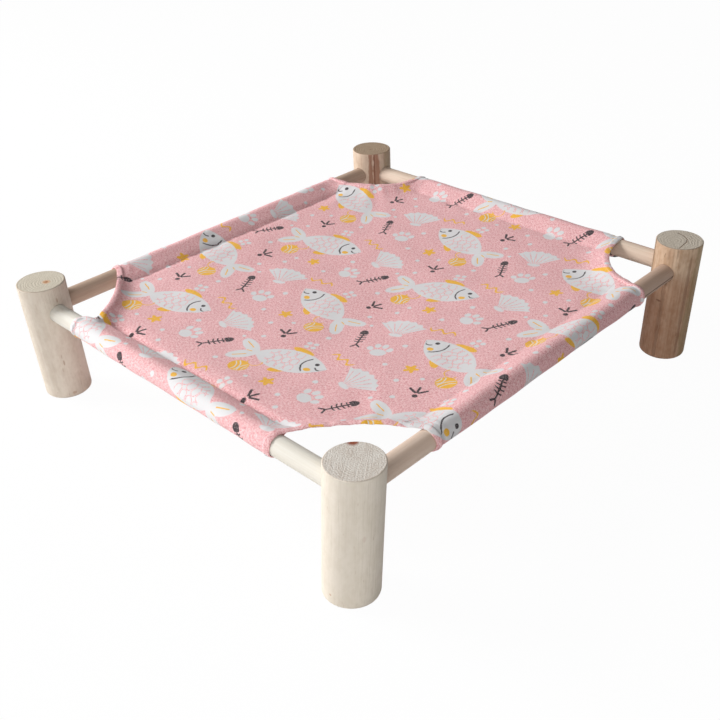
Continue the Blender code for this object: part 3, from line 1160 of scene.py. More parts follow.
@dataclass(frozen=True)
class Hem:
    """The cut round a leg: its reach along X and Y, its fullness, and where the sleeves end there.

    A fullness of 2 is an ellipse about the leg, and a lower one is flatter. A sleeve that ends
    nearer to the leg than the cut's own reach has a small hook there.
    """

    reach: Pair
    fullness: float
    sleeve_end: Pair
    lift_width: float = 0.017

    # How far in from a rail's axis the hook at the sleeve's end reaches, and the lower side's slant
    HOOK = 0.014
    UNDER_SLANT = 0.75
    NEARLY_ALL = 0.999
    SLOPE_STEP = 0.0003

    def end_along(self, axis: int, inboard: np.ndarray, under: np.ndarray) -> np.ndarray:
        """Where the cut crosses a line beside the rail.

        Args:
            axis: 0 for the rail along X, 1 for the rail along Y.
            inboard: The line's way in from that rail's axis.
            under: Whether the line is on the sleeve's lower side, which is cut back on a slant.

        Returns:
            How far from the leg it is, along that rail.
        """
        a, b, at_rail = self.reach[axis], self.reach[1 - axis], self.sleeve_end[axis]
        inside = np.clip(inboard, 0.0, b * self.NEARLY_ALL)
        curve = a * (1 - (inside / b) ** self.fullness) ** (1 / self.fullness)
        hook = smooth_step(1 - inside / self.HOOK, 0.0, 1.0)
        return np.where(under, at_rail + self.UNDER_SLANT * inside, curve + (at_rail - a) * hook)

    def on_sleeve(self, axis: int, along: np.ndarray, inboard: np.ndarray, under: np.ndarray) -> np.ndarray:
        """How far inside the cut a point of a sleeve lies.

        Args:
            axis: 0 for the sleeve along X, 1 for the sleeve along Y.
            along: The point's way from the leg, along the rail.
            inboard: Its way in from the rail's axis.
            under: Whether it is on the sleeve's lower side.

        Returns:
            The distance to the cut, below 0 outside it.
        """
        step = self.SLOPE_STEP
        ahead, behind = (self.end_along(axis, inboard + way, under) for way in (step, -step))
        slope = (ahead - behind) / (2 * step)
        return (along - self.end_along(axis, inboard, under)) / np.sqrt(1 + slope**2)

    def on_panel(self, along_x: np.ndarray, along_y: np.ndarray) -> np.ndarray:
        """How far inside the cut a point of the panel lies.

        Args:
            along_x: The point's way from the leg, along X.
            along_y: Its way from the leg, along Y.

        Returns:
            The distance to the cut, below 0 outside it.
        """
        a, b = self.reach
        power = self.fullness
        x, y = np.maximum(along_x, 1e-6), np.maximum(along_y, 1e-6)
        total = (x / a) ** power + (y / b) ** power
        slope = np.hypot((x / a) ** (power - 1) / a, (y / b) ** (power - 1) / b)
        return (total ** (1 / power) - 1) / (total ** (1 / power - 1) * slope)

    def radial(self, along_x: np.ndarray, along_y: np.ndarray) -> np.ndarray:
        """How far outside the cut a point lies, straight away from the leg.

        Args:
            along_x: The point's way from the leg, along X.
            along_y: Its way from the leg, along Y.

        Returns:
            The distance, and 0 within the cut.
        """
        power = self.fullness
        total = np.abs(along_x / self.reach[0]) ** power + np.abs(along_y / self.reach[1]) ** power
        share = np.maximum(total, 1e-9) ** (-1 / power)
        return np.hypot(along_x, along_y) * (1 - np.minimum(share, 1.0))


@dataclass(frozen=True)
class HemRows:
    """The rows of places that turn the cloth's edge under."""

    points: np.ndarray
    flats: np.ndarray
    faces: list[list[int]]


@dataclass(frozen=True)
class Sling:
    """The sewn cloth: a sagging panel, a sleeve round each rail, hems and stitches.

    A place on the cloth is (p, q), its place on the flat cut. Between the seams that is also its
    place on the plan, from the bed's middle. Past a seam it runs round the sleeve.
    """

    bed: BedFrame
    thickness: float = 0.0008
    sleeve_radius: float = 0.0113
    seam_inset: float = 0.0241
    seam_rise: float = 0.0015
    sag: float = 0.012
    top_rise: float = 0.0110
    turn_under: float = 0.004
    hem_width: float = 0.007
    hem_stand_off: float = 0.0008
    crease_round: float = 0.0009
    fine_step: float = 0.0015
    coarse_step: float = 0.0043
    fine_reach: float = 0.104
    crease_at: float = -0.098
    layer_gap: float = 0.0003
    end_dip: float = 0.0006
    stitch_beside: float = 0.0013
    stitch_inset: float = 0.0008
    stitch_out: float = 0.0001
    hems: tuple[tuple[Corner, Hem], ...] = (
        (Corner.FRONT_RIGHT, Hem((0.088, 0.086), 1.45, (0.088, 0.087))),
        (Corner.FRONT_LEFT, Hem((0.084, 0.087), 1.32, (0.065, 0.088), lift_width=0.010)),
        (Corner.BACK_RIGHT, Hem((0.069, 0.083), 1.9, (0.069, 0.085))),
        (Corner.BACK_LEFT, Hem((0.084, 0.072), 1.95, (0.084, 0.072))),
    )

    FLAT_MAP = "cloth_flat"
    # The hem from its side, in millimetres: its way inside the cut edge, its height, its flat place
    HEM_PROFILE = (
        (6.4, 0.18, 6.4), (5.8, 0.30, 5.8), (5.0, 0.26, 5.0), (4.0, 0.06, 4.0), (3.0, -0.22, 3.0),
        (2.0, -0.50, 2.0), (1.1, -0.80, 1.1), (0.5, -1.05, 0.5), (0.12, -1.35, 0.0), (0.15, -1.65, -0.4),
        (0.5, -1.88, -0.9), (1.3, -1.98, -1.7), (3.2, -1.75, -3.7), (6.0, -1.30, -6.5),
    )
    # How many parts the flap, the round and the way back of a sleeve are divided into
    SLEEVE_PARTS = (10, 24, 8)
    # How the faces near a sharp crease are mixed, and how many rounds find a line by its distance
    SMOOTHING = ((-1, 0.25), (0, 0.5), (1, 0.25))
    ROUNDS = 4
    # How far apart places are compared to find the cut's slope and the way that the cloth looks
    SLOPE_STEP = 0.0002
    NORMAL_STEP = 0.0006
    # How near to the hem's line a place is moved onto it, in fine steps, and how the end below falls
    SNAP = 0.3
    END_FALL = 0.12
    # How finely the stitched lines are divided, and how far they stay from the legs and from the cut
    SEAM_POINTS = 500
    SLEEVE_POINTS = 60
    CORNER_POINTS = 90
    FROM_LEG = 0.03
    FROM_CUT = 0.0015
    # The waves along the hems, along the seams, on the sleeves and on the panel
    HEM_RIPPLE = Swell(0.0005, 0.0055, 5.0)
    HEM_FUZZ = Swell(0.0002, 0.004, 41.0)
    SEAM_PUCKER = Swell(0.0009, 0.0085, 11.0)
    ROLL_WAVE = Swell(0.0005, 0.024, 17.0)
    END_WRINKLE = Swell(0.0006, 0.0032, 47.0)
    PANEL_SWELL = Swell(0.0011, 0.075, 23.0)
    PANEL_WAVE = Swell(0.0004, 0.026, 29.0)
    CORNER_FOLD = Swell(0.0012, 0.011, 37.0)
    # How deep the stitched lines and the pressed crease lie, and the valleys at each side's seam
    HEM_GROOVE = 0.00022
    SEAM_GROOVE = 0.0002
    CREASE_DEPTH = 0.00042
    VALLEYS_X = (0.0015, 0.0005)
    VALLEYS_Y = (0.0052, 0.0005)

    @property
    def seam(self) -> Pair:
        """How far the seams are from the bed's middle, along X and Y."""
        return self.bed.half_x - self.seam_inset, self.bed.half_y - self.seam_inset

    @property
    def end_rise(self) -> float:
        """The seams' height over the rails' axes at the sleeves' ends."""
        return self.top_rise - self.end_dip

    def past_seams(self, p: np.ndarray, q: np.ndarray) -> tuple[np.ndarray, np.ndarray]:
        """How far places of the flat cut lie past the seams, along X and Y."""
        return np.abs(p) - self.seam[0], np.abs(q) - self.seam[1]

    def from_legs(self, p: np.ndarray, q: np.ndarray) -> tuple[np.ndarray, np.ndarray]:
        """How far places of the flat cut lie from the nearest leg's axis, along X and Y."""
        return self.bed.half_x - np.abs(p), self.bed.half_y - np.abs(q)

    def rise(self, x: np.ndarray, y: np.ndarray) -> np.ndarray:
        """The panel's top: a shallow dip, lifted at the four hems.

        Args:
            x: Places along X, from the bed's middle.
            y: Places along Y.

        Returns:
            Its height over the rails' axes.
        """
        seam_x, seam_y = self.seam
        dip = self.sag * (1 - (x / seam_x) ** 2) * (1 - (y / seam_y) ** 2)
        height = self.seam_rise - dip
        for corner, hem in self.hems:
            side_x, side_y = corner.value
            out = hem.radial(self.bed.half_x - x * side_x, self.bed.half_y - y * side_y)
            lift = (self.top_rise - self.seam_rise) * bell(out, hem.lift_width)
            height = height + np.where(corner.holds(x, y), lift, 0.0)
        return height

    def sleeve_turns(self, rise: np.ndarray | float) -> tuple[np.ndarray, ...]:
        """Where a sleeve's cloth meets and leaves its round.

        Args:
            rise: The seam's height over the rail's axis.

        Returns:
            The lower layer's height at the seam, the angles where the round starts and ends, and
            the lengths of the flap before it and of the way back after it.
        """
        radius, inset = self.sleeve_radius, self.seam_inset
        under = rise - 2 * self.thickness - self.layer_gap
        reach, back = np.hypot(inset, rise), np.hypot(inset, under)
        start = np.arctan2(rise, inset) + np.arccos(radius / reach)
        end = math.tau + np.arctan2(under, inset) - np.arccos(radius / back)
        return under, start, end, np.sqrt(reach**2 - radius**2), np.sqrt(back**2 - radius**2)

    def section(self, run: np.ndarray, rise: np.ndarray) -> tuple[np.ndarray, np.ndarray]:
        """A sleeve seen along its rail.

        Args:
            run: The way round the sleeve from the seam, over the rail and back below it.
            rise: The seam's height over the rail's axis.

        Returns:
            The way in from the rail's axis, and the height over it.
        """
        radius, inset = self.sleeve_radius, self.seam_inset
        under, start, end, flap, flap_back = self.sleeve_turns(rise)
        share = np.clip(run / flap, 0.0, 1.0)
        flap_in = inset + (radius * np.cos(start) - inset) * share
        flap_up = rise + (radius * np.sin(start) - rise) * share
        turn = start + np.clip((run - flap) / radius, 0.0, end - start)
        past = run - flap - radius * (end - start)
        share = np.clip(past / flap_back, 0.0, 1.0)
        beyond = np.maximum(past - flap_back, 0.0)
        under_in = radius * np.cos(turn) + (inset - radius * np.cos(end)) * share + beyond
        under_up = radius * np.sin(turn) + (under - radius * np.sin(end)) * share - beyond * self.END_FALL
        on_flap = run < flap
        return np.where(on_flap, flap_in, under_in), np.where(on_flap, flap_up, under_up)

    def round_way(self) -> tuple[float, float, float]:
        """The ends of a sleeve's three stretches: the flap, the round, and the way back to the seam.

        Returns:
            How far round the sleeve each ends, with the part turned under in the last.
        """
        _, start, end, flap, back = self.sleeve_turns(self.seam_rise)
        rounded = flap + self.sleeve_radius * (end - start)
        return float(flap), float(rounded), float(rounded + back + self.turn_under)

    def bottom_way(self) -> float:
        """How far round a sleeve its lowest line is, from the seam."""
        _, start, _, flap, _ = self.sleeve_turns(self.seam_rise)
        return float(flap + self.sleeve_radius * (1.5 * math.pi - start))

    def cut_distance(self, p: np.ndarray, q: np.ndarray) -> np.ndarray:
        """How far inside the cloth's cut edge places lie, along the cloth.

        Args:
            p: Places along X on the flat cut.
            q: Places along Y on it.

        Returns:
            The distance, below 0 outside the cut.
        """
        past_x, past_y = self.past_seams(p, q)
        lifted = np.full_like(p, self.end_rise)
        in_x, in_y = (self.section(np.maximum(past, 0.0), lifted)[0] for past in (past_x, past_y))
        from_leg_x, from_leg_y = self.from_legs(p, q)
        bottom = self.bottom_way()
        result = np.full_like(p, -1.0)
        for corner, hem in self.hems:
            for mask, distance in (
                ((past_x <= 0) & (past_y <= 0), hem.on_panel(from_leg_x, from_leg_y)),
                ((past_x <= 0) & (past_y > 0), hem.on_sleeve(0, from_leg_x, in_y, past_y > bottom)),
                ((past_x > 0) & (past_y <= 0), hem.on_sleeve(1, from_leg_y, in_x, past_x > bottom)),
            ):
                result = np.where(corner.holds(p, q) & mask, distance, result)
        return result

    def sharp_surface(self, p: np.ndarray, q: np.ndarray) -> np.ndarray:
        """The cloth's outer face before its creases are rounded.

        Args:
            p: Places along X on the flat cut.
            q: Places along Y on it.

        Returns:
            The points.
        """
        seam_x, seam_y = self.seam
        past_x, past_y = self.past_seams(p, q)
        rise = self.rise(np.clip(p, -seam_x, seam_x), np.clip(q, -seam_y, seam_y))
        in_y, up_y = self.section(np.maximum(past_y, 0.0), rise)
        in_x, up_x = self.section(np.maximum(past_x, 0.0), rise)
        on_y, on_x = past_y > 0, past_x > 0
        x = np.where(on_x, np.sign(p) * (self.bed.half_x - in_x), p)
        y = np.where(on_y, np.sign(q) * (self.bed.half_y - in_y), q)
        up = np.where(on_y, up_y, np.where(on_x, up_x, rise))
        middle = self.bed.middle
        return np.stack([x + middle.x, y + middle.y, up + self.bed.rail_height], axis=-1)

    def surface(self, p: np.ndarray, q: np.ndarray) -> np.ndarray:
        """The cloth's outer face, smooth over the seams.

        Args:
            p: Places along X on the flat cut.
            q: Places along Y on it.

        Returns:
            The points.
        """
        total = 0.0
        for step_p, weight_p in self.SMOOTHING:
            for step_q, weight_q in self.SMOOTHING:
                moved = self.sharp_surface(p + step_p * self.crease_round, q + step_q * self.crease_round)
                total = total + weight_p * weight_q * moved
        return total

    def normal(self, p: np.ndarray, q: np.ndarray) -> np.ndarray:
        """The way that the cloth's outer face looks.

        Args:
            p: Places along X on the flat cut.
            q: Places along Y on it.

        Returns:
            The ways, of length 1.
        """
        step = self.NORMAL_STEP
        along_p = self.surface(p + step, q) - self.surface(p - step, q)
        along_q = self.surface(p, q + step) - self.surface(p, q - step)
        across = np.cross(along_p, along_q)
        return across / np.maximum(np.linalg.norm(across, axis=-1, keepdims=True), 1e-12)

    def relief(self, p: np.ndarray, q: np.ndarray) -> np.ndarray:
        """How far the cloth stands out from its smooth face: hems, puckers, folds and waves.

        Args:
            p: Places along X on the flat cut.
            q: Places along Y on it.

        Returns:
            The height over the smooth face.
        """
        past_x, past_y = self.past_seams(p, q)
        edge = self.cut_distance(p, q)
        from_leg_x, from_leg_y = self.from_legs(p, q)
        turn = np.arctan2(from_leg_y, from_leg_x)
        side = np.sign(p) * 0.4 + np.sign(q) * 0.7
        height = self.HEM_RIPPLE.at(turn * 0.085, side) * bell(edge, 0.007, 0.004)
        height += self.HEM_FUZZ.at(p, q) * bell(edge, 0.008)
        height -= self.HEM_GROOVE * bell(edge - self.hem_width, 0.0012, 0.001)
        back_at_seam = self.round_way()[2] - self.turn_under
        for past, along, half, depth in (
            (past_x, q, self.bed.half_y, np.where(p < 0, *self.VALLEYS_X)),
            (past_y, p, self.bed.half_x, np.where(q < 0, *self.VALLEYS_Y)),
        ):
            height += self.SEAM_PUCKER.at(along, past * 0.25) * np.exp(-np.abs(past) / 0.008)
            height -= self.SEAM_GROOVE * bell(past, 0.0012)
            wide = bell(past, np.where(past < 0, 0.012, 0.005))
            valley = depth * smooth_step(half - np.abs(along), 0.083, 0.106)
            height -= valley * (0.4 * wide + 0.6 * bell(past, 0.0034))
            height += valley * smooth_step(past, back_at_seam - 0.012, back_at_seam - 0.003)
            on_roll = smooth_step(past, 0.004, 0.02)
            height += on_roll * self.ROLL_WAVE.at(along * 0.7 + past * 0.5, past)
            height += on_roll * bell(edge, 0.008, 0.010) * self.END_WRINKLE.at(edge, turn * 0.012)
        on_panel = smooth_step(np.maximum(past_x, past_y), 0.0, -0.02)
        height += on_panel * (self.PANEL_SWELL.at(p, q) + self.PANEL_WAVE.at(p, q))
        near_hem = np.exp(-np.abs(edge) / 0.04) * smooth_step(edge, 0.004, 0.014)
        height += self.CORNER_FOLD.at(turn * 0.09 + side, edge * 0.08) * near_hem * on_panel
        crease = bell(p - self.crease_at - q * 0.012, 0.0013)
        height -= self.CREASE_DEPTH * crease * on_panel * smooth_step(q, 0.05, -0.12)
        return height

    def lines(self, axis: int) -> np.ndarray:
        """The mesh's lines across the flat cut, close together near the hems and round the sleeves.

        Args:
            axis: 0 for the lines along X, 1 for those along Y.

        Returns:
            Their places.
        """
        half, seam = (self.bed.half_x, self.bed.half_y)[axis], self.seam[axis]
        ends = (0.0, *self.round_way())
        sleeve = [
            seam + np.linspace(start, end, parts + 1)[1:]
            for start, end, parts in zip(ends, ends[1:], self.SLEEVE_PARTS)
        ]
        inner = half - self.fine_reach
        fine = np.linspace(inner, seam, int(round((seam - inner) / self.fine_step)) + 1)
        coarse = np.linspace(0, inner, int(round(inner / self.coarse_step)) + 1)[:-1]
        side = np.concatenate([coarse, fine, *sleeve])
        return np.concatenate([-side[:0:-1], side])

    def cut_slope(self, p: np.ndarray, q: np.ndarray) -> tuple[np.ndarray, np.ndarray]:
        """The way straight in from the cut edge.

        Args:
            p: Places along X on the flat cut.
            q: Places along Y on it.

        Returns:
            The way's parts along X and Y, of length 1 together.
        """
        step = self.SLOPE_STEP
        slope_p = self.cut_distance(p + step, q) - self.cut_distance(p - step, q)
        slope_q = self.cut_distance(p, q + step) - self.cut_distance(p, q - step)
        size = np.maximum(np.hypot(slope_p, slope_q), 1e-9)
        return slope_p / size, slope_q / size

    def flat_mesh(self) -> tuple[np.ndarray, list[list[int]], list[tuple[int, int]]]:
        """Divide the flat cut into faces that end exactly where its hem starts.

        Returns:
            The (p, q) places, the faces as lists of their numbers, and the edges on the hem's line.
        """
        p, q = np.meshgrid(self.lines(0), self.lines(1), indexing="ij")
        edge = self.cut_distance(p, q) - self.hem_width
        slope_p, slope_q = self.cut_slope(p, q)
        close = np.abs(edge) < self.SNAP * self.fine_step
        p = np.where(close, p - edge * slope_p, p)
        q = np.where(close, q - edge * slope_q, q)
        edge = np.where(close, 0.0, edge)
        places: list[Pair] = []
        numbers: dict[tuple, int] = {}
        on_line: set[int] = set()

        def number(key: tuple, place: Pair, at_line: bool) -> int:
            """The number of a place, which is added when it is first met.

            Args:
                key: What the place is known by.
                place: Its (p, q).
                at_line: Whether it is on the hem's line.

            Returns:
                Its number.
            """
            if key not in numbers:
                numbers[key] = len(places)
                places.append(place)
                if at_line:
                    on_line.add(numbers[key])
            return numbers[key]

        faces = []
        for i in range(p.shape[0] - 1):
            for j in range(p.shape[1] - 1):
                ring = ((i, j), (i + 1, j), (i + 1, j + 1), (i, j + 1))
                values = [edge[at] for at in ring]
                if max(values) <= 0:
                    continue
                face = []
                for at, after in zip(ring, ring[1:] + ring[:1]):
                    if edge[at] >= 0:
                        face.append(number((at,), (p[at], q[at]), edge[at] == 0))
                    if edge[at] * edge[after] < 0:
                        share = edge[at] / (edge[at] - edge[after])
                        place = (p[at] + (p[after] - p[at]) * share, q[at] + (q[after] - q[at]) * share)
                        face.append(number(tuple(sorted((at, after))), place, True))
                if len(face) > 2:
                    faces.append(face)
        sides = {(a, b) for face in faces for a, b in zip(face, face[1:] + face[:1])}
        border = [(a, b) for a, b in sides if (b, a) not in sides and a in on_line and b in on_line]
        return np.array(places), faces, sorted(border)

    def hem_rows(self, flat: np.ndarray, border: list[tuple[int, int]], first: int) -> HemRows:
        """Turn the cloth's edge under: rows of places from the hem's line, over the edge and back below.

        Args:
            flat: The (p, q) places of the flat mesh.
            border: The edges on the hem's line.
            first: The number that the first new place gets.

        Returns:
            The new places with their points and flat places, and their faces.
        """
        line = sorted({number for pair in border for number in pair})
        column = {number: at for at, number in enumerate(line)}
        p, q = flat[line, 0], flat[line, 1]
        on_sleeve = smooth_step(np.maximum(*self.past_seams(p, q)), -0.004, 0.010)
        points, flats = [], []
        for edge_mm, height_mm, flat_mm in self.HEM_PROFILE:
            at_p, at_q = p.copy(), q.copy()
            for _ in range(self.ROUNDS):
                off = self.cut_distance(at_p, at_q) - edge_mm * MM
                slope_p, slope_q = self.cut_slope(at_p, at_q)
                at_p, at_q = at_p - off * slope_p, at_q - off * slope_q
            slope_p, slope_q = self.cut_slope(at_p, at_q)
            stand_off = self.hem_stand_off * on_sleeve * smooth_step(np.array(flat_mm), 7.0, 5.4)
            height = self.relief(at_p, at_q) + height_mm * MM + stand_off
            points.append(self.surface(at_p, at_q) + self.normal(at_p, at_q) * height[:, None])
            out = (edge_mm - flat_mm) * MM
            flats.append(np.stack([at_p - slope_p * out, at_q - slope_q * out], axis=-1))
        faces = []
        width = len(line)
        for a, b in border:
            rows_a, rows_b = (
                [end] + [first + row * width + column[end] for row in range(len(points))] for end in (a, b)
            )
            for near_a, far_a, near_b, far_b in zip(rows_a, rows_a[1:], rows_b, rows_b[1:]):
                faces.append([near_b, near_a, far_a, far_b])
        return HemRows(np.concatenate(points), np.concatenate(flats), faces)

    def make(self) -> tuple[bpy.types.Object, float]:
        """Make the cloth.

        Returns:
            The piece, and the flat area of its cut in square metres.
        """
        flat, faces, border = self.flat_mesh()
        p, q = flat[:, 0], flat[:, 1]
        points = self.surface(p, q) + self.normal(p, q) * self.relief(p, q)[:, None]
        hem = self.hem_rows(flat, border, len(flat))
        points = np.concatenate([points, hem.points])
        flat = np.concatenate([flat, hem.flats])
        faces = faces + hem.faces
        mesh = bpy.data.meshes.new("sling_canvas")
        mesh.from_pydata(points.tolist(), [], faces)
        layer = mesh.uv_layers.new(name=self.FLAT_MAP)
        corners = np.empty(len(mesh.loops), dtype=np.int32)
        mesh.loops.foreach_get("vertex_index", corners)
        layer.data.foreach_set("uv", flat[corners].ravel())
        mesh.shade_smooth()
        canvas = Canvas()
        mesh.materials.append(canvas.make("sling_printed_canvas", printed=True))
        mesh.materials.append(canvas.make("sling_canvas_back", printed=False))
        piece = add_piece("sling_canvas", mesh)
        wall = piece.modifiers.new("thickness", "SOLIDIFY")
        wall.thickness = self.thickness
        wall.offset = -1.0
        wall.use_quality_normals = True
        wall.material_offset = 1
        area = 0.0
        for face in faces:
            ring = flat[face]
            after = np.roll(ring, -1, axis=0)
            area += abs(float((ring[:, 0] * after[:, 1] - after[:, 0] * ring[:, 1]).sum())) / 2
        LOG.info("sling_canvas: %d places, %d faces, flat area %.4f m2", len(flat), len(faces), area)
        return piece, area

    def on_cloth(self, places: Sequence[Pair]) -> list[Place]:
        """Put a stitched path onto the cloth.

        Args:
            places: The path's places on the flat cut.

        Returns:
            Its points, a little way out of the cloth.
        """
        p, q = np.array(places).T
        height = self.relief(p, q) + self.stitch_out
        return [tuple(point) for point in self.surface(p, q) + self.normal(p, q) * height[:, None]]

    def seam_paths(self) -> list[list[Place]]:
        """The stitched lines along the four seams, on the sleeve's side.

        Returns:
            The points of each line.
        """
        paths = []
        for axis in (0, 1):
            for side in (-1, 1):
                across = side * (self.seam[1 - axis] + self.stitch_beside)
                half = (self.bed.half_x, self.bed.half_y)[axis]
                along = np.linspace(-half + self.FROM_LEG, half - self.FROM_LEG, self.SEAM_POINTS)
                places = [(value, across) if axis == 0 else (across, value) for value in along]
                inside = (self.cut_distance(*map(np.array, place)) > self.FROM_CUT for place in places)
                paths.append(self.on_cloth([place for place, kept in zip(places, inside) if kept]))
        return paths

    def hem_paths(self) -> list[list[Place]]:
        """The stitched lines inside the hems, from the underside of one sleeve to that of the other.

        Returns:
            The points of each line.
        """
        paths = []
        depth = self.hem_width - self.stitch_inset
        half_x, half_y = self.bed.half_x, self.bed.half_y
        seam_x, seam_y = self.seam
        round_sleeve = np.linspace(self.bottom_way(), 0.0, self.SLEEVE_POINTS)
        inboard = self.section(round_sleeve, np.full_like(round_sleeve, self.end_rise))[0]
        above = np.zeros(len(inboard), dtype=bool)
        for corner, hem in self.hems:
            side_x, side_y = corner.value
            ends_x, ends_y = (hem.end_along(axis, inboard, above) for axis in (0, 1))
            first = [(half_x - end - depth, seam_y + way) for end, way in zip(ends_x, round_sleeve)]
            last = [(seam_x + way, half_y - end - depth) for end, way in zip(ends_y, round_sleeve)]
            ends = (math.atan2(half_y - q, half_x - p) for p, q in (first[-1], last[-1]))
            turns = np.linspace(*ends, self.CORNER_POINTS)
            middle = []
            for turn in turns[1:-1]:
                across, along = math.cos(turn), math.sin(turn)
                total = (across / hem.reach[0]) ** hem.fullness + (along / hem.reach[1]) ** hem.fullness
                reach = total ** (-1 / hem.fullness)
                for _ in range(self.ROUNDS):
                    reach += depth - float(hem.on_panel(np.array(across * reach), np.array(along * reach)))
                middle.append((half_x - across * reach, half_y - along * reach))
            paths.append(self.on_cloth([(side_x * p, side_y * q) for p, q in (*first, *middle, *last[::-1])]))
        return paths


def add_piece(name: str, mesh: bpy.types.Mesh) -> bpy.types.Object:
    """Put a mesh into the scene.

    Args:
        name: The new object's name.
        mesh: Its mesh.

    Returns:
        The object.
    """
    piece = bpy.data.objects.new(name, mesh)
    bpy.context.scene.collection.objects.link(piece)
    return piece


@dataclass(frozen=True)
class Stitching:
    """Rows of machine stitches: a Geometry Nodes tree lays one small bead of thread at each pitch."""

    pitch: float = 0.0034
    length: float = 0.0028
    width: float = 0.00055
    thread: Colour = paint(244, 206, 208)
    twists: float = 9000.0
    twist_depth: float = 0.00008
    twist_shade_share: float = 0.8

    FUZZ = Grain((0.0006, 0.0006, 0.0006))

    def tree(self) -> bpy.types.NodeTree:
        """The tree that turns paths into rows of stitches.

        Returns:
            The node tree, with the paths, the sizes and the thread as its inputs.
        """
        tree = bpy.data.node_groups.new("stitch_rows", "GeometryNodeTree")
        face = tree.interface
        face.new_socket("Geometry", in_out="INPUT", socket_type="NodeSocketGeometry")
        for name in ("Pitch", "Stitch length", "Thread width"):
            face.new_socket(name, in_out="INPUT", socket_type="NodeSocketFloat")
        face.new_socket("Thread", in_out="INPUT", socket_type="NodeSocketMaterial")
        face.new_socket("Geometry", in_out="OUTPUT", socket_type="NodeSocketGeometry")
        graph = Graph(tree)
        given = graph.add("NodeGroupInput").outputs
        curve = graph.add("GeometryNodeMeshToCurve")
        graph.fill(curve, {"Mesh": given["Geometry"]})
        spaced = graph.add("GeometryNodeResampleCurve", mode="LENGTH")
        graph.fill(spaced, {"Curve": curve.outputs[0], "Length": given["Pitch"]})
        bead = graph.add("GeometryNodeMeshUVSphere")
        graph.fill(bead, {"Segments": 6, "Rings": 5, "Radius": 0.5})
        turn = graph.add("FunctionNodeAlignRotationToVector", axis="X")
        graph.fill(turn, {"Vector": graph.add("GeometryNodeInputTangent").outputs[0]})
        # The sockets by number are the random value's least, its most and its seed
        uneven = graph.add("FunctionNodeRandomValue", data_type="FLOAT")
        for number, value in ((2, 0.9), (3, 1.08), (8, 4)):
            uneven.inputs[number].default_value = value
        long = graph.add("ShaderNodeMath", operation="MULTIPLY")
        graph.feed(long.inputs[0], given["Stitch length"])
        graph.feed(long.inputs[1], uneven.outputs[1])
        size = graph.vector(long.outputs[0], given["Thread width"], given["Thread width"])
        placed = graph.add("GeometryNodeInstanceOnPoints")
        graph.fill(placed, {
            "Points": spaced.outputs[0], "Instance": bead.outputs["Mesh"],
            "Rotation": turn.outputs[0], "Scale": size,
        })
        real = graph.add("GeometryNodeRealizeInstances")
        graph.feed(real.inputs[0], placed.outputs[0])
        dressed = graph.add("GeometryNodeSetMaterial")
        graph.fill(dressed, {"Geometry": real.outputs[0], "Material": given["Thread"]})
        graph.feed(graph.add("NodeGroupOutput").inputs[0], dressed.outputs[0])
        return tree

    def finish(self) -> bpy.types.Material:
        """The thread: twisted cotton with a little sheen, darkened in its twist's grooves as painted shade.

        Returns:
            The material.
        """
        finish, graph, shader = new_finish("sling_sewing_thread")
        x, y, z = graph.object_place()
        twist = graph.math("SINE", (x + y + z * 0.5) * self.twists)
        fuzz = graph.noise((x, y, z), self.FUZZ)
        # Painted shade: the thread is darker in the twist's grooves, where the bump is low, mixed with random
        # tone from the fuzz
        deep = (*(share * self.twist_shade_share for share in self.thread[:3]), 1.0)
        graph.fill(shader, {
            "Base Color": graph.blend(graph.step(twist * 0.5 + fuzz, -1.0, 1.0), deep, self.thread),
            "Normal": graph.bump(twist, self.twist_depth),
            "Roughness": 0.75,
            "Sheen Weight": 0.15,
        })
        return finish

    def sew(
        self,
        name: str,
        paths: Iterable[Sequence[Place]],
        tree: bpy.types.NodeTree,
        thread: bpy.types.Material,
    ) -> bpy.types.Object:
        """Lay stitches along some paths.

        Args:
            name: The piece's name.
            paths: The paths, each as its points in order.
            tree: The tree that lays them.
            thread: The thread's finish.

        Returns:
            The piece, as a plain mesh.
        """
        points: list[Place] = []
        edges = []
        for path in paths:
            first = len(points)
            points.extend(path)
            edges += [(at, at + 1) for at in range(first, len(points) - 1)]
        mesh = bpy.data.meshes.new(name + "_path")
        mesh.from_pydata(points, edges, [])
        piece = add_piece(name, mesh)
        sewn = piece.modifiers.new("stitches", "NODES")
        sewn.node_group = tree
        given = {
            "Pitch": self.pitch, "Stitch length": self.length, "Thread width": self.width, "Thread": thread,
        }
        for socket in tree.interface.items_tree:
            if socket.in_out == "INPUT" and socket.name in given:
                sewn[socket.identifier] = given[socket.name]
        graph = bpy.context.evaluated_depsgraph_get()
        solid = bpy.data.meshes.new_from_object(piece.evaluated_get(graph), depsgraph=graph)
        piece.modifiers.clear()
        piece.data = solid
        bpy.data.meshes.remove(mesh)
        solid.name = name
        solid.shade_smooth()
        LOG.info("%s: %d faces", name, len(solid.polygons))
        return piece


# Studio and camera


@dataclass(frozen=True)
class Lamp:
    """A soft box: the side that it stands on, how high and far, how large, and how bright."""

    name: str
    azimuth: float
    elevation: float
    power: float
    distance: float = 2.8
    size: float = 1.2
    aim_height: float = 0.1

    def build(self) -> None:
        """Make the lamp, turned to the bed."""
        turn, tilt = math.radians(self.azimuth), math.radians(self.elevation)
        way = Vector((math.cos(turn) * math.cos(tilt), math.sin(turn) * math.cos(tilt), math.sin(tilt)))
        light = bpy.data.lights.new(self.name, "AREA")
        light.size = self.size
        light.energy = self.power
        stand = bpy.data.objects.new(self.name, light)
        bpy.context.scene.collection.objects.link(stand)
        stand.location = way * self.distance + Vector((0.0, 0.0, self.aim_height))
        stand.rotation_mode = "QUATERNION"
        stand.rotation_quaternion = (-way).to_track_quat("-Z", "Y")
        stand.visible_camera = False


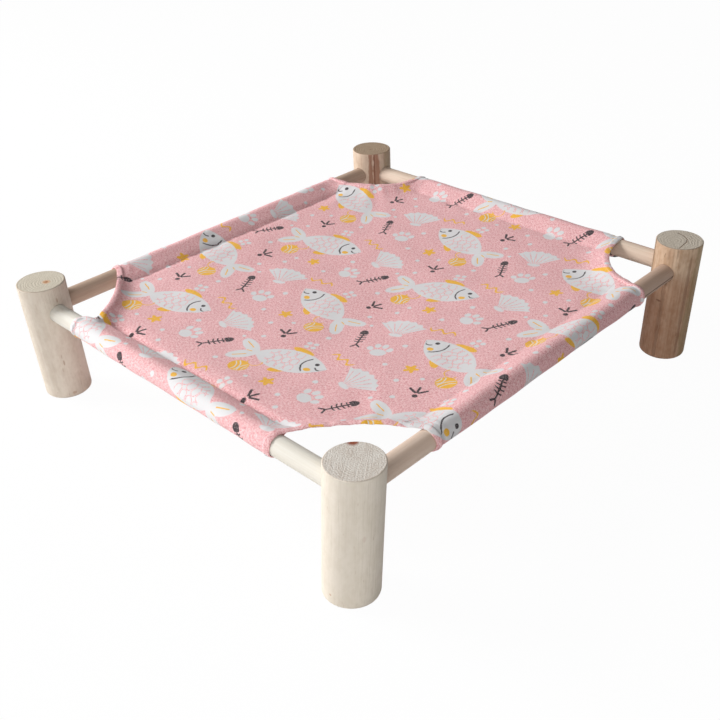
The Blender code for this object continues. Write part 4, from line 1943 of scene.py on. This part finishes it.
@dataclass(frozen=True)
class Studio:
    """A pale floor under a white sky, with soft boxes round the bed."""

    sky: float = 0.145
    floor_glow: float = 0.97
    floor: Colour = (0.92, 0.92, 0.92, 1.0)
    floor_reach: float = 14.0
    lamps: tuple[Lamp, ...] = (
        Lamp("key", -150.0, 30.0, 84.0),
        Lamp("fill", -60.0, 30.0, 9.5, distance=1.7),
    )

    def seen_share(self, graph: Graph) -> Field:
        """1 for what the camera, a reflection or glass shows, and 0 for light on the bed.

        Args:
            graph: The node tree of the sky or the floor.

        Returns:
            The share.
        """
        rays = graph.add("ShaderNodeLightPath").outputs
        seen = (rays["Is Camera Ray"], rays["Is Glossy Ray"], rays["Is Transmission Ray"])
        return graph.most(*(Field(graph, ray) for ray in seen))

    def build(self) -> None:
        """Make the sky, the floor and the lamps."""
        world = bpy.data.worlds.new("studio_sky")
        world.use_nodes = True
        bpy.context.scene.world = world
        graph = Graph(world.node_tree)
        background = world.node_tree.nodes["Background"]
        background.inputs["Color"].default_value = (1.0, 1.0, 1.0, 1.0)
        graph.feed(background.inputs["Strength"], self.seen_share(graph) * (1 - self.sky) + self.sky)
        finish, graph, shader = new_finish("studio_floor")
        graph.fill(shader, {"Base Color": self.floor, "Roughness": 0.9})
        glow = graph.add("ShaderNodeEmission")
        mixed = graph.add("ShaderNodeMixShader")
        graph.feed(mixed.inputs[0], self.seen_share(graph) * self.floor_glow)
        graph.feed(mixed.inputs[1], shader.outputs[0])
        graph.feed(mixed.inputs[2], glow.outputs[0])
        graph.feed(finish.node_tree.nodes["Material Output"].inputs[0], mixed.outputs[0])
        mesh = bpy.data.meshes.new("studio_floor")
        sides = ((-1, -1), (1, -1), (1, 1), (-1, 1))
        corners = [(x * self.floor_reach, y * self.floor_reach, 0.0) for x, y in sides]
        mesh.from_pydata(corners, [], [(0, 1, 2, 3)])
        mesh.materials.append(finish)
        add_piece("studio_floor", mesh)
        for lamp in self.lamps:
            lamp.build()


@dataclass(frozen=True)
class Viewpoint:
    """The camera: where it looks, from which side and how far away, and the lens."""

    target: Place = (0.111048, -0.117974, 0.107)
    azimuth: float = 45.132
    elevation: float = 32.772
    roll: float = -2.467
    distance: float = 0.884138
    lens: float = 46.9385
    shift: Pair = (-0.00478, 0.00922)
    sensor: float = 36.0
    clip: Pair = (0.02, 60.0)

    def build(self) -> None:
        """Make the camera and look through it."""
        turn, tilt, roll = (math.radians(value) for value in (self.azimuth, self.elevation, self.roll))
        back = Vector((math.sin(turn) * math.cos(tilt), -math.cos(turn) * math.cos(tilt), math.sin(tilt)))
        right = Vector((math.cos(turn), math.sin(turn), 0.0))
        up = back.cross(right)
        level_right = right * math.cos(roll) + up * math.sin(roll)
        level_up = up * math.cos(roll) - right * math.sin(roll)
        lens = bpy.data.cameras.new("viewpoint")
        lens.lens = self.lens
        lens.sensor_width = self.sensor
        lens.shift_x, lens.shift_y = self.shift
        lens.clip_start, lens.clip_end = self.clip
        camera = bpy.data.objects.new("viewpoint", lens)
        bpy.context.scene.collection.objects.link(camera)
        axes = Matrix((level_right, level_up, back)).transposed().to_4x4()
        camera.matrix_world = Matrix.Translation(Vector(self.target) + back * self.distance) @ axes
        bpy.context.scene.camera = camera


def main() -> None:
    """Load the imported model, dress it, and light it."""
    logging.basicConfig(level=logging.INFO, format="%(message)s")
    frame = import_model()
    bpy.context.scene.view_settings.view_transform = "Standard"
    Viewpoint().build()
    Studio().build()
    bed = BedFrame.from_model()
    Woodwork().dress(frame["nodes"], bed)
    sling = Sling(bed)
    cloth, area = sling.make()
    stitching = Stitching()
    tree, thread = stitching.tree(), stitching.finish()
    seams = stitching.sew("sling_seam_stitches", sling.seam_paths(), tree, thread)
    hems = stitching.sew("sling_hem_stitches", sling.hem_paths(), tree, thread)
    for piece in (cloth, seams, hems):
        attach(piece, "root")
    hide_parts("sling")
    full = sling.round_way()[2]
    width, length = (2 * (seam + full) for seam in sling.seam)


if __name__ == "__main__":
    main()
